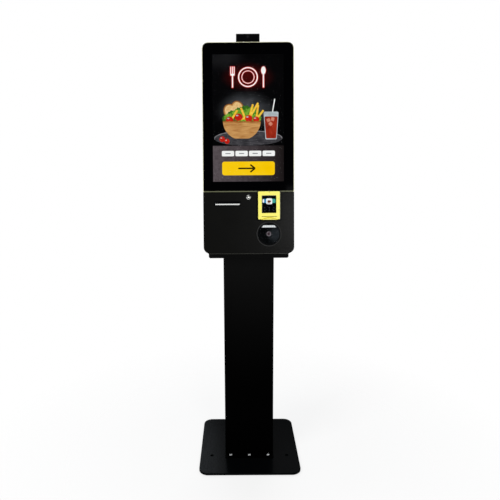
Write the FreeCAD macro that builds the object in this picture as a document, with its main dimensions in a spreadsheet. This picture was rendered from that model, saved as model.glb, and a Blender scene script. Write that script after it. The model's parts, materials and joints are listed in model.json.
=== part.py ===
import FreeCAD, Part
import math
import os
import re

import Sketcher

# Self-order kiosk on a floor stand: a square base plate, a folded box column and a leaning head with a
# portrait touch screen above a drop-down service door. Lengths are in millimetres. Z is up, the screen
# faces -Y and the origin is the middle of the footprint on the floor.
# Pieces of the head are drawn in the head's own axes: x to the right, y from the glass face into the
# head, z up the face, all from the middle of the screen. HEAD then leans them back into their place.

os.makedirs("parts", exist_ok=True)

# Stand
STAND_SIZES = {
    "plate_size": (400, "side of the square base plate"),
    "plate_thick": (8, "base plate, cut from steel plate"),
    "plate_corner": (37, "corner radius of the base plate"),
    "plate_edge": (1.2, "rounded upper edge of the base plate"),
    "pad_wide": (34, "rubber foot pad"),
    "pad_thick": (3, "height of the foot pads under the plate"),
    "pad_inset": (30, "middle of a foot pad from the plate's sides"),
    "pad_screw_size": (4, "countersunk screw that holds a foot pad"),
    "pad_screw_head": (8.4, "countersunk head"),
    "pad_screw_bite": (2, "length of the screw in the rubber"),
    "anchor_span": (307, "distance between the two floor anchor holes"),
    "anchor_hole": (14, "floor anchor hole"),
    "floor_hole": (60, "hole in the plate for cables from the floor"),
    "column_wide": (197, "column across"),
    "column_deep": (130, "column from front to back"),
    "column_wall": (2, "sheet of the column"),
    "column_fold": (3, "outer radius of the column's folds"),
    "column_return": (22, "inward return on each side of the column's back"),
    "foot_thick": (3, "foot plate welded under the column"),
    "foot_reach": (38, "foot plate in front of and behind the column"),
    "foot_corner": (8, "corner radius of the foot plate"),
    "foot_rim": (20, "foot plate inside the column's outline"),
    "foot_bolt_step": (76, "distance between neighbouring foot bolts"),
    "foot_bolt_out": (18, "row of foot bolts from the column's face"),
    "foot_bolt_size": (6, "foot bolt"),
    "foot_bolt_flats": (10, "foot bolt's head across its flats"),
    "foot_bolt_head": (4, "height of the foot bolt's head"),
    "washer_wide": (14, "washer under a foot bolt"),
    "washer_thick": (1.4, "washer under a foot bolt"),
    "bolt_slack": (0.6, "a bolt's hole is this much wider than the bolt"),
    "cover_thick": (2, "sheet of the column's rear cover"),
    "cover_slack": (0.5, "gap round the column's rear cover"),
    "cover_lift": (26, "cable gap under the column's rear cover"),
    "cover_screw_size": (4, "button screw of the covers"),
    "cover_screw_head": (7.6, "head of a cover screw"),
    "cover_screw_rise": (2.2, "height of a cover screw's head"),
    "cover_screw_long": (8, "shank of a cover screw"),
    "cover_screw_inset": (60, "first and last cover screws from the column's ends"),
    "cap_thick": (4, "cap plate in the column's top"),
    "cap_slack": (0.6, "gap round the cap plate before it is welded"),
    "tray_thick": (3, "floor of the tray"),
    "tray_wall": (2.5, "lips of the tray"),
    "tray_lip": (22, "front lip of the tray"),
    "tray_over": (8, "tray in front of and behind the column"),
    "tray_corner": (7, "rounded lower corners of the tray"),
    "neck_bolt_size": (8, "bolt through head, tray and cap plate"),
    "neck_bolt_flats": (13, "neck bolt's head and nut across their flats"),
    "neck_bolt_head": (5.3, "height of a neck bolt's head"),
    "neck_nut_tall": (6.5, "height of a neck bolt's nut"),
    "neck_bolt_end": (3, "neck bolt beyond its nut"),
    "neck_bolt_across": (140, "neck bolts across"),
    "neck_bolt_along": (70, "neck bolts from front to back"),
    "neck_hole_wide": (60, "cable hole through the neck, across"),
    "neck_hole_deep": (46, "cable hole through the neck, front to back"),
    "neck_hole_round": (10, "corners of the cable hole"),
}

# Head
HEAD_SIZES = {
    "lean": (6, "degrees by which the head leans back"),
    "face_ahead": (2, "middle of the screen in front of the column's face"),
    "face_height": (1373, "middle of the screen above the floor"),
    "head_wide": (343.4, "head across"),
    "head_corner": (24, "upper corners of the head and lower corners of the door"),
    "glass_over": (278, "top of the cover glass above the middle of the screen"),
    "glass_under": (274.4, "bottom of the cover glass below the middle"),
    "glass_thick": (4, "cover glass"),
    "glass_bevel": (0.5, "bevelled edge of the cover glass"),
    "rim": (1.4, "frame's rim seen round the glass"),
    "rim_gap": (0.35, "gap between rim and glass"),
    "rim_back": (0.5, "rim behind the face of the glass"),
    "joint_bar": (3.5, "frame's bar between glass and door"),
    "frame_front": (17, "face of the frame behind the door"),
    "frame_thick": (7, "frame behind the door"),
    "frame_under": (4, "frame below the door"),
    "frame_low_corner": (28, "lower corners of the frame"),
    "window_slack": (2, "frame's window round the LCD panel"),
    "bay_side": (23, "frame's upright beside the door bay"),
    "bay_rail": (12, "frame's rail behind the door's lower edge"),
    "bay_head": (2, "frame's bar behind the door's upper edge"),
    "housing_wide": (310, "rear housing across"),
    "housing_wall": (2, "sheet of the rear housing"),
    "housing_thin": (75, "depth of the housing behind the screen"),
    "housing_down": (10, "top of the housing below the top of the glass"),
    "housing_up": (2, "bottom of the housing above the door's lower edge"),
    "knee_over": (150, "the housing starts to deepen this far below the middle"),
    "knee_under": (285, "the housing is deep from here down"),
    "housing_round": (14, "folds across the housing's back"),
    "knee_round": (24, "soft bend of the housing's back"),
    "housing_fold": (4, "folds along the housing's sides"),
    "lip_wide": (12, "housing's inward lip that is bolted to the frame"),
    "service_wide": (236, "service opening in the housing's back, across"),
    "service_tall": (330, "service opening, up"),
    "service_up": (70, "middle of the service opening above the middle of the screen"),
    "service_round": (8, "corners of the service opening"),
    "service_lap": (13, "service cover beyond its opening"),
    "service_thick": (1.5, "service cover's sheet"),
    "vent_long": (88, "vent slot"),
    "vent_wide": (4, "vent slot"),
    "vent_step": (13, "distance between vent slots"),
    "vent_rows": (9, "vent slots in a column"),
    "vent_aside": (54, "middle of a column of vents from the centre line"),
    "vent_up": (150, "middle of the vents above the middle of the screen"),
}

# Screen and electronics
SCREEN_SIZES = {
    "screen_wide": (267.8, "picture across"),
    "screen_tall": (476.1, "picture up"),
    "screen_down": (1.5, "middle of the picture below the head's middle"),
    "lcd_side": (12.2, "LCD panel's edge beside the picture"),
    "lcd_end": (9.75, "LCD panel's edge above and below the picture"),
    "lcd_thick": (11, "LCD panel"),
    "lcd_sink": (0.6, "picture behind the panel's metal bezel"),
    "gasket_thick": (1, "foam gasket between glass and panel"),
    "gasket_set": (2, "gasket from the panel's edge and from the picture"),
    "rail_tall": (30, "rail across the back of the LCD panel"),
    "rail_sheet": (2, "sheet of the rails"),
    "rail_span": (300, "distance between the two rails"),
    "shelf_wide": (236, "board plate across"),
    "shelf_tall": (366, "board plate up"),
    "shelf_thick": (1.5, "board plate"),
    "board_wide": (170, "main board across"),
    "board_tall": (120, "main board up"),
    "board_thick": (1.6, "main board"),
    "board_up": (100, "main board above the middle"),
    "standoff": (6, "standoffs under the main board, tall and wide"),
    "standoff_inset": (6, "standoffs from the board's edges"),
    "sink_size": (60, "heat sink on the main board"),
    "sink_tall": (16, "heat sink with its fins"),
    "sink_floor": (4, "heat sink's floor"),
    "fin_count": (8, "fins of the heat sink"),
    "fin_thick": (2.4, "fin"),
    "port_wide": (56, "block of sockets on the main board"),
    "port_deep": (14, "height of the block of sockets"),
    "supply_wide": (97, "power supply across"),
    "supply_tall": (159, "power supply up"),
    "supply_deep": (30, "power supply's depth"),
    "supply_down": (75, "power supply below the middle"),
    "supply_sheet": (1.5, "power supply's case"),
    "supply_open": (18, "open end over the supply's terminals"),
    "speaker_tall": (78, "speaker box up"),
    "speaker_deep": (34, "speaker box from front to back"),
    "speaker_thick": (20, "speaker box across"),
    "speaker_cone": (26, "speaker's cone"),
    "speaker_down": (60, "speakers below the middle"),
    "speaker_back": (48, "middle of the speakers behind the glass face"),
    "sound_slot_long": (24, "sound slot in the housing's side"),
    "sound_slot_wide": (2.5, "sound slot"),
    "sound_slot_step": (7, "distance between sound slots"),
    "sound_slots": (6, "sound slots on each side"),
}

# Mains inlet with its rocker switch, in the housing's lower back
INLET_SIZES = {
    "inlet_aside": (98, "mains inlet from the centre line"),
    "inlet_up": (79, "middle of the inlet above the housing's bottom"),
    "inlet_wide": (34, "inlet's flange across"),
    "inlet_tall": (60, "inlet's flange up"),
    "inlet_flange": (2.5, "thickness of the inlet's flange"),
    "inlet_body": (3, "inlet's body inside its flange's outline"),
    "inlet_deep": (22, "inlet's body behind the housing's back"),
    "inlet_slack": (1.5, "housing's opening round the inlet's body"),
    "socket_wide": (24.6, "mains socket across"),
    "socket_tall": (16.6, "mains socket up"),
    "socket_deep": (15.5, "mains socket's depth"),
    "socket_down": (12, "mains socket below the inlet's middle"),
    "prong_wide": (4, "mains prong across"),
    "prong_thick": (2, "mains prong"),
    "prong_long": (13, "mains prong"),
    "prong_span": (14, "distance between the outer prongs"),
    "prong_up": (4, "earth prong above the other two"),
    "switch_wide": (20, "rocker switch across"),
    "switch_tall": (13, "rocker switch up"),
    "switch_up": (14, "rocker switch above the inlet's middle"),
    "switch_slack": (0.5, "gap round the rocker"),
    "switch_well": (9, "well behind the rocker"),
    "rocker_tip": (3.4, "ends of the rocker in front of its axis"),
    "rocker_dip": (1.8, "middle of the rocker in front of its axis"),
    "rocker_root": (3.5, "rocker behind its axis"),
    "rocker_tilt": (8, "degrees by which the rocker rests tipped"),
    "rocker_axis": (0.5, "rocker's axis behind the flange's face"),
    "trunnion_size": (2, "rocker's pivot stubs"),
    "trunnion_long": (2, "rocker's pivot stubs"),
}

# Service door and what it carries
DOOR_SIZES = {
    "door_gap": (0.8, "gap between the frame's bar and the door"),
    "door_tall": (232, "door up"),
    "door_deep": (14, "door with its returns"),
    "door_wall": (2, "door's sheet"),
    "door_edge": (1.5, "soft edge round the door's face"),
    "pivot_up": (6.5, "hinge axis above the door's lower edge"),
    "pivot_back": (6, "hinge axis behind the door's face"),
    "pivot_size": (4, "hinge pin"),
    "pivot_slack": (0.05, "radial clearance of the hinge pin"),
    "pivot_aside": (140, "door's hinge lug from the centre line"),
    "lug_thick": (3, "hinge lugs and ears"),
    "lug_gap": (0.5, "gap between lug and ear"),
    "ear_foot": (16, "foot of an ear on the frame"),
    "ear_foot_thick": (1.5, "foot of an ear on the frame"),
    "ear_half": (3.6, "ears and lugs below the hinge axis"),
    "ear_foot_half": (6, "foot of an ear above and below the hinge axis"),
    "notch_slack": (2, "notch in the door's return round the ears"),
    "slot_aside": (80, "receipt slot left of the centre line"),
    "slot_down": (46, "middle of the slot's bright lip below the door's top"),
    "slot_wide": (91.7, "receipt slot across"),
    "slot_lip": (6.5, "bright lip of the receipt slot"),
    "slot_gap": (5, "paper gap above the lip"),
    "bezel_side": (4, "bezel beside the slot"),
    "bezel_rise": (1, "bezel in front of the door"),
    "bezel_deep": (5, "bezel behind the door's face"),
    "bezel_round": (2.5, "bezel's corners"),
    "lip_rise": (1.8, "slot's lip in front of the door"),
    "lock_down": (19.5, "lock below the door's top"),
    "lock_face": (19, "lock's round face"),
    "lock_rise": (2.5, "lock's face in front of the door"),
    "lock_barrel_size": (16, "lock's threaded barrel"),
    "lock_nut_wide": (22, "nut on the lock's barrel"),
    "lock_nut_thick": (4, "nut on the lock's barrel"),
    "lock_plug_size": (12, "turning plug of the lock"),
    "lock_slack": (0.05, "radial clearance of the plug"),
    "lock_barrel_end": (24.6, "end of the barrel behind the door's face"),
    "key_slot_long": (7, "key slot"),
    "key_slot_wide": (1.6, "key slot"),
    "key_slot_deep": (8, "key slot"),
    "strike_thick": (1.5, "strike plate behind the frame's bar"),
    "strike_wide": (44, "strike plate across"),
    "cam_gap": (0.4, "cam behind the strike plate"),
    "cam_thick": (2.5, "lock's cam"),
    "cam_long": (28, "cam's reach from the lock's axis"),
    "cam_wide": (12, "cam across"),
    "cam_hub": (16, "cam round the plug"),
}

# Card terminal
TERMINAL_SIZES = {
    "terminal_aside": (77, "card terminal right of the centre line"),
    "terminal_top": (4.2, "terminal's yellow frame above the door's top"),
    "terminal_wide": (86.4, "yellow frame across"),
    "terminal_tall": (109, "yellow frame up"),
    "terminal_rim": (2.6, "black body round the yellow frame"),
    "terminal_proud": (8, "terminal's body in front of the door"),
    "terminal_frame_thick": (6, "yellow frame"),
    "terminal_corner": (5, "corners of the terminal"),
    "terminal_back_wide": (80, "terminal behind the door, across"),
    "terminal_back_tall": (81, "terminal behind the door, up"),
    "terminal_back_down": (10, "middle of the back part below the frame's middle"),
    "terminal_back_deep": (40, "back part behind the door's face"),
    "terminal_hole_slack": (0.5, "door's opening round the back part"),
    "window_wide": (52, "window of the yellow frame across"),
    "window_tall": (64, "window of the yellow frame up"),
    "window_up": (3.2, "window above the frame's middle"),
    "window_lap": (2, "terminal's glass beyond the window"),
    "terminal_glass_thick": (1.4, "terminal's glass"),
    "tab_wide": (14, "round tab on the yellow frame's top"),
    "tab_drop": (4.6, "middle of the tab below the frame's top"),
    "tab_hole": (3.2, "light hole in the tab"),
    "chin_wide": (70, "chin under the card slot"),
    "chin_tall": (11.5, "chin under the card slot"),
    "chin_tip_wide": (58, "chin at its tip"),
    "chin_tip_tall": (5, "chin at its tip"),
    "chin_rise": (7, "chin in front of the yellow frame"),
    "card_slot_wide": (57, "card slot"),
    "card_slot_tall": (1.8, "card slot"),
    "card_slot_deep": (12, "card slot"),
    "screw_dimple": (2.6, "two small screw holes beside the window"),
    "dimple_aside": (36.5, "the screw holes from the frame's middle"),
    "dimple_span": (41, "distance between the screw holes"),
    "clamp_lap": (6, "clamp plate round the terminal's back part"),
    "clamp_thick": (2, "clamp plate"),
    "clamp_slack": (0.4, "clamp plate round the back part"),
}

# Code scanner
SCANNER_SIZES = {
    "scanner_aside": (76.3, "scanner right of the centre line"),
    "scanner_down": (158.8, "scanner's middle below the door's top"),
    "ring_wide": (93, "scanner's ring"),
    "ring_rise": (1.2, "ring in front of the door"),
    "ring_sleeve": (2, "sleeve of the ring in the door"),
    "ring_sleeve_deep": (6, "sleeve behind the door's face"),
    "dish_wide": (82, "scanner's window"),
    "dish_slack": (0.3, "gap round the window and sleeve"),
    "scanner_glass_thick": (2, "scanner's window"),
    "dish_floor": (30, "flat middle of the scanner's dish"),
    "dish_floor_back": (15, "flat middle behind the door's face"),
    "dish_rim": (5, "flat rim of the dish"),
    "cup_wall": (2.2, "wall of the scanner's cup"),
    "cup_flange": (4.5, "flange of the cup behind the door"),
    "cup_flange_thick": (2, "flange of the cup"),
    "cup_back": (30, "back of the scanner's cup"),
    "scan_lens_wide": (18, "scanner's lens barrel"),
    "scan_lens_long": (6, "scanner's lens barrel"),
    "scan_lens_glass": (11, "scanner's lens"),
    "light_low": (23.5, "light strip's lower edge above the scanner's middle"),
    "light_tall": (10.5, "light strip up"),
    "light_round": (38.5, "radius of the light strip's ends"),
    "light_front": (2.8, "light strip behind the door's face"),
}

# Receipt printer behind the slot
PRINTER_SIZES = {
    "roll_wide": (84, "roll bay across"),
    "roll_size": (82, "roll bay, round"),
    "roll_back": (80, "middle of the roll bay behind the glass face"),
    "roll_down": (80, "middle of the roll bay below the paper path"),
    "bucket_wall": (2.5, "wall of the roll bucket"),
    "bucket_lip": (20, "front lip of the bucket below the roll's middle"),
    "bucket_high": (52, "bucket's upper edge above the roll's middle"),
    "cheek_thick": (2, "printer's side plates"),
    "cheek_front": (22, "side plates behind the glass face"),
    "cheek_top": (19, "side plates above the paper path"),
    "cheek_low": (24, "side plates below the paper path, in front of the bucket"),
    "cheek_top_back": (102, "back of the side plates at the top"),
    "cheek_foot_front": (66, "front of the side plates' feet"),
    "cheek_foot": (14, "feet of the side plates on the housing's floor"),
    "cutter_thick": (8, "cutter frame"),
    "cutter_front": (22, "cutter frame behind the glass face"),
    "cutter_high": (17, "cutter frame above the paper path"),
    "cutter_low": (22, "cutter frame below the paper path"),
    "paper_slit": (6, "slit for the paper"),
    "paper_wide": (84, "slit for the paper across"),
    "blade_thick": (1.2, "cutter blade"),
    "blade_slack": (0.3, "blade's gap to its guides"),
    "blade_tall": (12, "cutter blade up"),
    "blade_vee": (2.5, "blade's edge is lower in the middle"),
    "blade_wait": (1.2, "blade's tips below the slit at rest"),
    "platen_size": (12, "platen roller"),
    "platen_back": (46, "platen's axis behind the glass face"),
    "platen_long": (82, "platen roller across"),
    "platen_shaft_size": (5, "platen's shaft"),
    "shaft_slack": (0.05, "radial clearance of shafts"),
    "print_head_gap": (0.3, "print head above the platen"),
    "print_head_tall": (11, "print head"),
    "print_head_deep": (22, "print head"),
    "head_fin_step": (5, "grooves in the print head's cooling block"),
    "gear_module": (0.8, "tooth size of the printer's gears"),
    "platen_teeth": (24, "teeth of the platen gear"),
    "idler_teeth": (30, "teeth of the idler gear"),
    "motor_teeth": (15, "teeth of the motor gear"),
    "gear_wide": (5, "gears across"),
    "gear_gap": (0.8, "gears beside the side plate"),
    "gear_backlash": (0.12, "play between teeth"),
    "idler_axle": (4, "idler's axle"),
    "motor_shaft": (3, "motor's shaft"),
    "motor_size": (28, "feed motor"),
    "motor_long": (22, "feed motor"),
}

# Camera on the head's top edge
CAMERA_SIZES = {
    "camera_wide": (88, "camera body across"),
    "camera_tall": (28, "camera body up"),
    "camera_deep": (24, "camera body from front to back"),
    "camera_back": (1, "camera's face behind the glass face"),
    "camera_rise": (2.8, "camera above the frame"),
    "camera_round": (5, "lower edges of the camera"),
    "camera_edge": (1.2, "other edges of the camera"),
    "tilt_up": (8, "tilt axis above the camera's lower face"),
    "tilt_pin": (3, "tilt pin"),
    "tilt_slack": (0.05, "radial clearance of the tilt pin"),
    "tilt_notch": (32, "notch for the bracket, across"),
    "tilt_notch_high": (15, "notch for the bracket, up"),
    "tilt_notch_wall": (4, "camera's face in front of the notch"),
    "bracket_wide": (28, "ears of the camera bracket"),
    "bracket_foot": (96, "camera bracket's foot along the head's edge"),
    "bracket_sheet": (1.2, "camera bracket's sheet"),
    "bracket_ear": (9, "camera bracket's ears"),
    "lens_wide": (9, "camera's lens"),
    "lens_down": (10.7, "lens below the camera's top"),
    "lens_deep": (5, "lens barrel"),
    "lens_sink": (0.8, "lens behind the camera's face"),
}

GROUPS = (
    STAND_SIZES,
    HEAD_SIZES,
    SCREEN_SIZES,
    INLET_SIZES,
    DOOR_SIZES,
    TERMINAL_SIZES,
    SCANNER_SIZES,
    PRINTER_SIZES,
    CAMERA_SIZES,
)
SIZES = {name: size for group in GROUPS for name, size in group.items()}

# Places that follow from the sizes
PLACES = {
    "plate_top": "pad_thick + plate_thick",
    "pad_at": "plate_size / 2 - pad_inset",
    "foot_top": "plate_top + foot_thick",
    "foot_bolt_at": "column_deep / 2 + foot_bolt_out",
    "column_face": "-column_deep / 2",
    "column_back": "column_deep / 2",
    "column_inside": "column_wide / 2 - column_wall",
    "tray_wide": "housing_wide",
    "cover_inner": "column_back - cover_thick",
    "return_inner": "cover_inner - column_wall",
    "head_y": "column_face - face_ahead",
    "head_z": "face_height",
    "joint_top": "-glass_under - rim_gap",
    "joint_low": "joint_top - joint_bar",
    "door_top": "joint_low - door_gap",
    "door_low": "door_top - door_tall",
    "frame_low": "door_low - frame_under",
    "frame_top": "glass_over + rim_gap + rim",
    "frame_back": "frame_front + frame_thick",
    "glass_half": "head_wide / 2 - rim - rim_gap",
    "bay_half": "head_wide / 2 - bay_side",
    "bay_low": "door_low + bay_rail",
    "bay_top": "door_top - bay_head",
    "housing_top": "glass_over - housing_down",
    "housing_low": "door_low + housing_up",
    "housing_half": "housing_wide / 2",
    "housing_inside": "housing_half - housing_wall",
    "tray_under": "housing_low - tray_thick",
    "cap_under": "tray_under - cap_thick",
    "lcd_front": "glass_thick + gasket_thick",
    "lcd_back": "lcd_front + lcd_thick",
    "screen_mid": "-screen_down",
    "lcd_wide": "screen_wide + 2 * lcd_side",
    "lcd_tall": "screen_tall + 2 * lcd_end",
    "window_half": "lcd_wide / 2 + window_slack",
    "shelf_back": "frame_back + shelf_thick",
    "pivot_z": "door_low + pivot_up",
    "slot_z": "door_top - slot_down",
    "paper_z": "slot_z + slot_lip / 2 + slot_gap / 2",
    "lock_z": "door_top - lock_down",
    "cam_front": "frame_back + strike_thick + cam_gap",
    "terminal_z": "door_top + terminal_top - terminal_tall / 2",
    "terminal_back_z": "terminal_z - terminal_back_down",
    "terminal_face": "-terminal_proud - terminal_frame_thick",
    "window_z": "terminal_z + window_up",
    "terminal_foot": "terminal_z - terminal_tall / 2",
    "scanner_z": "door_top - scanner_down",
    "sleeve_out": "dish_wide / 2 + ring_sleeve",
    "cup_in": "sleeve_out + dish_slack",
    "dish_rim_in": "dish_wide / 2 - dish_rim",
    "roll_z": "paper_z - roll_down",
    "bucket_half": "roll_wide / 2 + bucket_wall",
    "cheek_half": "bucket_half + cheek_thick",
    "bucket_radius": "roll_size / 2 + bucket_wall",
    "cutter_back": "cutter_front + cutter_thick",
    "blade_front": "cutter_back + blade_slack",
    "blade_top": "paper_z - paper_slit / 2 - blade_wait",
    "blade_half": "paper_wide / 2 + blade_wait",
    "platen_z": "paper_z - platen_size / 2",
    "gear_near": "-slot_aside - cheek_half - gear_gap",
    "idler_y": "platen_back + gear_module * (platen_teeth + idler_teeth) / 2",
    "motor_y": "idler_y + gear_module * (idler_teeth + motor_teeth) / 2",
    "camera_low": "frame_top + camera_rise",
    "camera_mid": "camera_back + camera_deep / 2",
    "tilt_z": "camera_low + tilt_up",
    "housing_foot": "head_z + housing_low / cos(lean) - (column_back - head_y) * tan(lean)",
    "inlet_height": "housing_foot + inlet_up",
    "switch_z": "inlet_height + switch_up",
    "socket_z": "inlet_height - socket_down",
    "rocker_y": "column_back + inlet_flange - rocker_axis",
}

SAME_PLACE = 0.001
HEAD = "placement(vector(0; head_y; head_z); rotation(vector(1; 0; 0); -lean))"
NO_TURN = "rotation(vector(0; 0; 1); 0)"

document = FreeCAD.newDocument("Kiosk")
sheet = document.addObject("Spreadsheet::Sheet", "Sizes")
for row, (name, (number, meaning)) in enumerate(SIZES.items(), start=1):
    sheet.set(f"A{row}", name)
    sheet.set(f"B{row}", str(number))
    sheet.setAlias(f"B{row}", name)
    sheet.set(f"C{row}", meaning)
document.recompute()
pieces = []


def bound(text):
    """Write a formula in the names above as one on the sheet's cells."""

    def cell(match):
        word = match.group()
        if word in PLACES:
            return f"({bound(PLACES[word])})"
        if word in SIZES:
            return f"Sizes.{word}"
        return word

    return re.sub(r"[A-Za-z_]\w*", cell, str(text))


def value(text):
    """The number that a formula gives now."""
    return float(sheet.evalExpression(bound(text)))


def depth_of(world_y, high):
    """Depth in the head of a place at world_y, at the height high on the head's face."""
    return f"((({world_y}) - head_y - ({high}) * sin(lean)) / cos(lean))"


def height_of(world_y, high):
    """World height, at world_y, of the leaning plane that is square to the face at the height high."""
    return f"(head_z + ({high}) / cos(lean) - (({world_y}) - head_y) * tan(lean))"


def in_head(x="0", y="0", z="0"):
    """Placement of a piece that is drawn about its own middle and sits at a spot in the head."""
    return f"{HEAD} * placement(vector({x}; {y}; {z}); {NO_TURN})"


def new_piece(label, place=None):
    body = document.addObject("PartDesign::Body", label)
    body.Label = label
    if place:
        body.setExpression("Placement", bound(place))
    pieces.append(body)
    return body


def tie(sketch, kind, points, text):
    """Set a size in a sketch and bind it to the sheet."""
    number = sketch.addConstraint(Sketcher.Constraint(kind, *points, value(text)))
    sketch.setExpression(f"Constraints[{number}]", bound(text))


def line(sketch, start, end):
    return sketch.addGeometry(Part.LineSegment(FreeCAD.Vector(*start, 0), FreeCAD.Vector(*end, 0)))


def arc(sketch, centre, radius, first, last):
    """Arc from the angle first to the angle last, in degrees, anticlockwise."""
    circle = Part.Circle(FreeCAD.Vector(*centre, 0), FreeCAD.Vector(0, 0, 1), radius)
    return sketch.addGeometry(Part.ArcOfCircle(circle, math.radians(first), math.radians(last)))


def rule(sketch, kind, *points):
    sketch.addConstraint(Sketcher.Constraint(kind, *points))


def rectangle(left, right, low, high, rounds=(None, None, None, None)):
    """Rectangle whose corner radii go round from the lower left, or are one radius for all four."""
    if isinstance(rounds, str):
        rounds = (rounds,) * 4

    def draw(sketch):
        x0, x1, y0, y1 = (value(text) for text in (left, right, low, high))
        r = [value(radius) if radius else 0 for radius in rounds]
        sides = [
            line(sketch, (x0 + r[0], y0), (x1 - r[1], y0)),
            line(sketch, (x1, y0 + r[1]), (x1, y1 - r[2])),
            line(sketch, (x1 - r[2], y1), (x0 + r[3], y1)),
            line(sketch, (x0, y1 - r[3]), (x0, y0 + r[0])),
        ]
        middles = [
            (x0 + r[0], y0 + r[0]),
            (x1 - r[1], y0 + r[1]),
            (x1 - r[2], y1 - r[2]),
            (x0 + r[3], y1 - r[3]),
        ]
        for side, kind in zip(sides, ("Horizontal", "Vertical") * 2):
            rule(sketch, kind, side)
        for corner, radius in enumerate(rounds):
            before = sides[corner - 1]
            after = sides[corner]
            if radius is None:
                rule(sketch, "Coincident", before, 2, after, 1)
                continue
            first = 180 + 90 * corner
            bend = arc(sketch, middles[corner], r[corner], first, first + 90)
            rule(sketch, "Tangent", before, 2, bend, 1)
            rule(sketch, "Tangent", bend, 2, after, 1)
            tie(sketch, "Radius", (bend,), radius)
        tie(sketch, "DistanceY", (sides[0], 1), low)
        tie(sketch, "DistanceX", (sides[1], 1), right)
        tie(sketch, "DistanceY", (sides[2], 1), high)
        tie(sketch, "DistanceX", (sides[3], 1), left)

    return draw


def block(x, y, wide, tall, rounds=(None, None, None, None)):
    """Rectangle about its middle."""
    half_wide = f"({wide}) / 2"
    half_tall = f"({tall}) / 2"
    sides = (f"{x} - {half_wide}", f"{x} + {half_wide}", f"{y} - {half_tall}", f"{y} + {half_tall}")
    return rectangle(*sides, rounds)


def disc(x, y, wide):
    def draw(sketch):
        middle = FreeCAD.Vector(value(x), value(y), 0)
        circle = sketch.addGeometry(Part.Circle(middle, FreeCAD.Vector(0, 0, 1), value(wide) / 2))
        tie(sketch, "DistanceX", (circle, 3), x)
        tie(sketch, "DistanceY", (circle, 3), y)
        tie(sketch, "Diameter", (circle,), wide)

    return draw


def slot(x, y, long, wide):
    """Level slot with round ends about its middle."""

    def draw(sketch):
        radius = value(wide) / 2
        y_now = value(y)
        left, right = f"{x} - ({long} - {wide}) / 2", f"{x} + ({long} - {wide}) / 2"
        ends = (arc(sketch, (value(left), y_now), radius, 90, 270),
                arc(sketch, (value(right), y_now), radius, -90, 90))
        low = line(sketch, (value(left), y_now - radius), (value(right), y_now - radius))
        high = line(sketch, (value(right), y_now + radius), (value(left), y_now + radius))
        rule(sketch, "Tangent", ends[0], 2, low, 1)
        rule(sketch, "Tangent", low, 2, ends[1], 1)
        rule(sketch, "Tangent", ends[1], 2, high, 1)
        rule(sketch, "Tangent", high, 2, ends[0], 1)
        rule(sketch, "Equal", *ends)
        tie(sketch, "Radius", (ends[0],), f"{wide} / 2")
        for end, across in zip(ends, (left, right)):
            tie(sketch, "DistanceX", (end, 3), across)
            tie(sketch, "DistanceY", (end, 3), y)

    return draw


def polygon(*points):
    def draw(sketch):
        spots = [(value(x), value(y)) for x, y in points]
        sides = [line(sketch, spot, spots[(n + 1) % len(spots)]) for n, spot in enumerate(spots)]
        for number, (x, y) in enumerate(points):
            rule(sketch, "Coincident", sides[number - 1], 2, sides[number], 1)
            tie(sketch, "DistanceX", (sides[number], 1), x)
            tie(sketch, "DistanceY", (sides[number], 1), y)

    return draw


def hexagon(x, y, flats):
    corner = f"({flats}) / sqrt(3)"
    half = f"({flats}) / 2"
    return polygon(
        (f"{x} + {corner}", y),
        (f"{x} + {corner} / 2", f"{y} + {half}"),
        (f"{x} - {corner} / 2", f"{y} + {half}"),
        (f"{x} - {corner}", y),
        (f"{x} - {corner} / 2", f"{y} - {half}"),
        (f"{x} + {corner} / 2", f"{y} - {half}"),
    )


def arch(x, low, wide, tall):
    """Flat base with one round bow over it."""

    def draw(sketch):
        radius = f"(({wide}) * ({wide}) / 4 + ({tall}) * ({tall})) / (2 * ({tall}))"
        half = value(wide) / 2
        bow = value(radius)
        middle = (value(x), value(low) + value(tall) - bow)
        angle = math.degrees(math.atan2(value(low) - middle[1], half))
        base = line(sketch, (value(x) - half, value(low)), (value(x) + half, value(low)))
        top = arc(sketch, middle, bow, angle, 180 - angle)
        rule(sketch, "Coincident", base, 2, top, 1)
        rule(sketch, "Coincident", top, 2, base, 1)
        tie(sketch, "DistanceX", (base, 1), f"{x} - ({wide}) / 2")
        tie(sketch, "DistanceX", (base, 2), f"{x} + ({wide}) / 2")
        tie(sketch, "DistanceY", (base, 1), low)
        tie(sketch, "DistanceY", (base, 2), low)
        tie(sketch, "Radius", (top,), radius)

    return draw


def band(low, high, radius):
    """Part of a disc about the middle that lies between two level lines."""

    def draw(sketch):
        bow = value(radius)
        first = math.asin(value(low) / bow)
        last = math.asin(value(high) / bow)
        right = arc(sketch, (0, 0), bow, math.degrees(first), math.degrees(last))
        left = arc(sketch, (0, 0), bow, 180 - math.degrees(last), 180 - math.degrees(first))
        across = [(bow * math.cos(angle), bow * math.sin(angle)) for angle in (first, last)]
        base = line(sketch, (-across[0][0], across[0][1]), across[0])
        top = line(sketch, across[1], (-across[1][0], across[1][1]))
        for before, after in ((base, right), (right, top), (top, left), (left, base)):
            rule(sketch, "Coincident", before, 2, after, 1)
        for bend in (right, left):
            tie(sketch, "DistanceX", (bend, 3), "0")
            tie(sketch, "DistanceY", (bend, 3), "0")
            tie(sketch, "Radius", (bend,), radius)
        for level, side in ((low, base), (high, top)):
            tie(sketch, "DistanceY", (side, 1), level)
            tie(sketch, "DistanceY", (side, 2), level)

    return draw


def all_corners(x, y):
    """The four places at plus and minus x and y."""
    return [(f"{sx} * ({x})", f"{sy} * ({y})") for sx in (-1, 1) for sy in (-1, 1)]


def origin_part(body, role):
    return next(item for item in body.Origin.OriginFeatures if item.Role == role)


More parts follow.
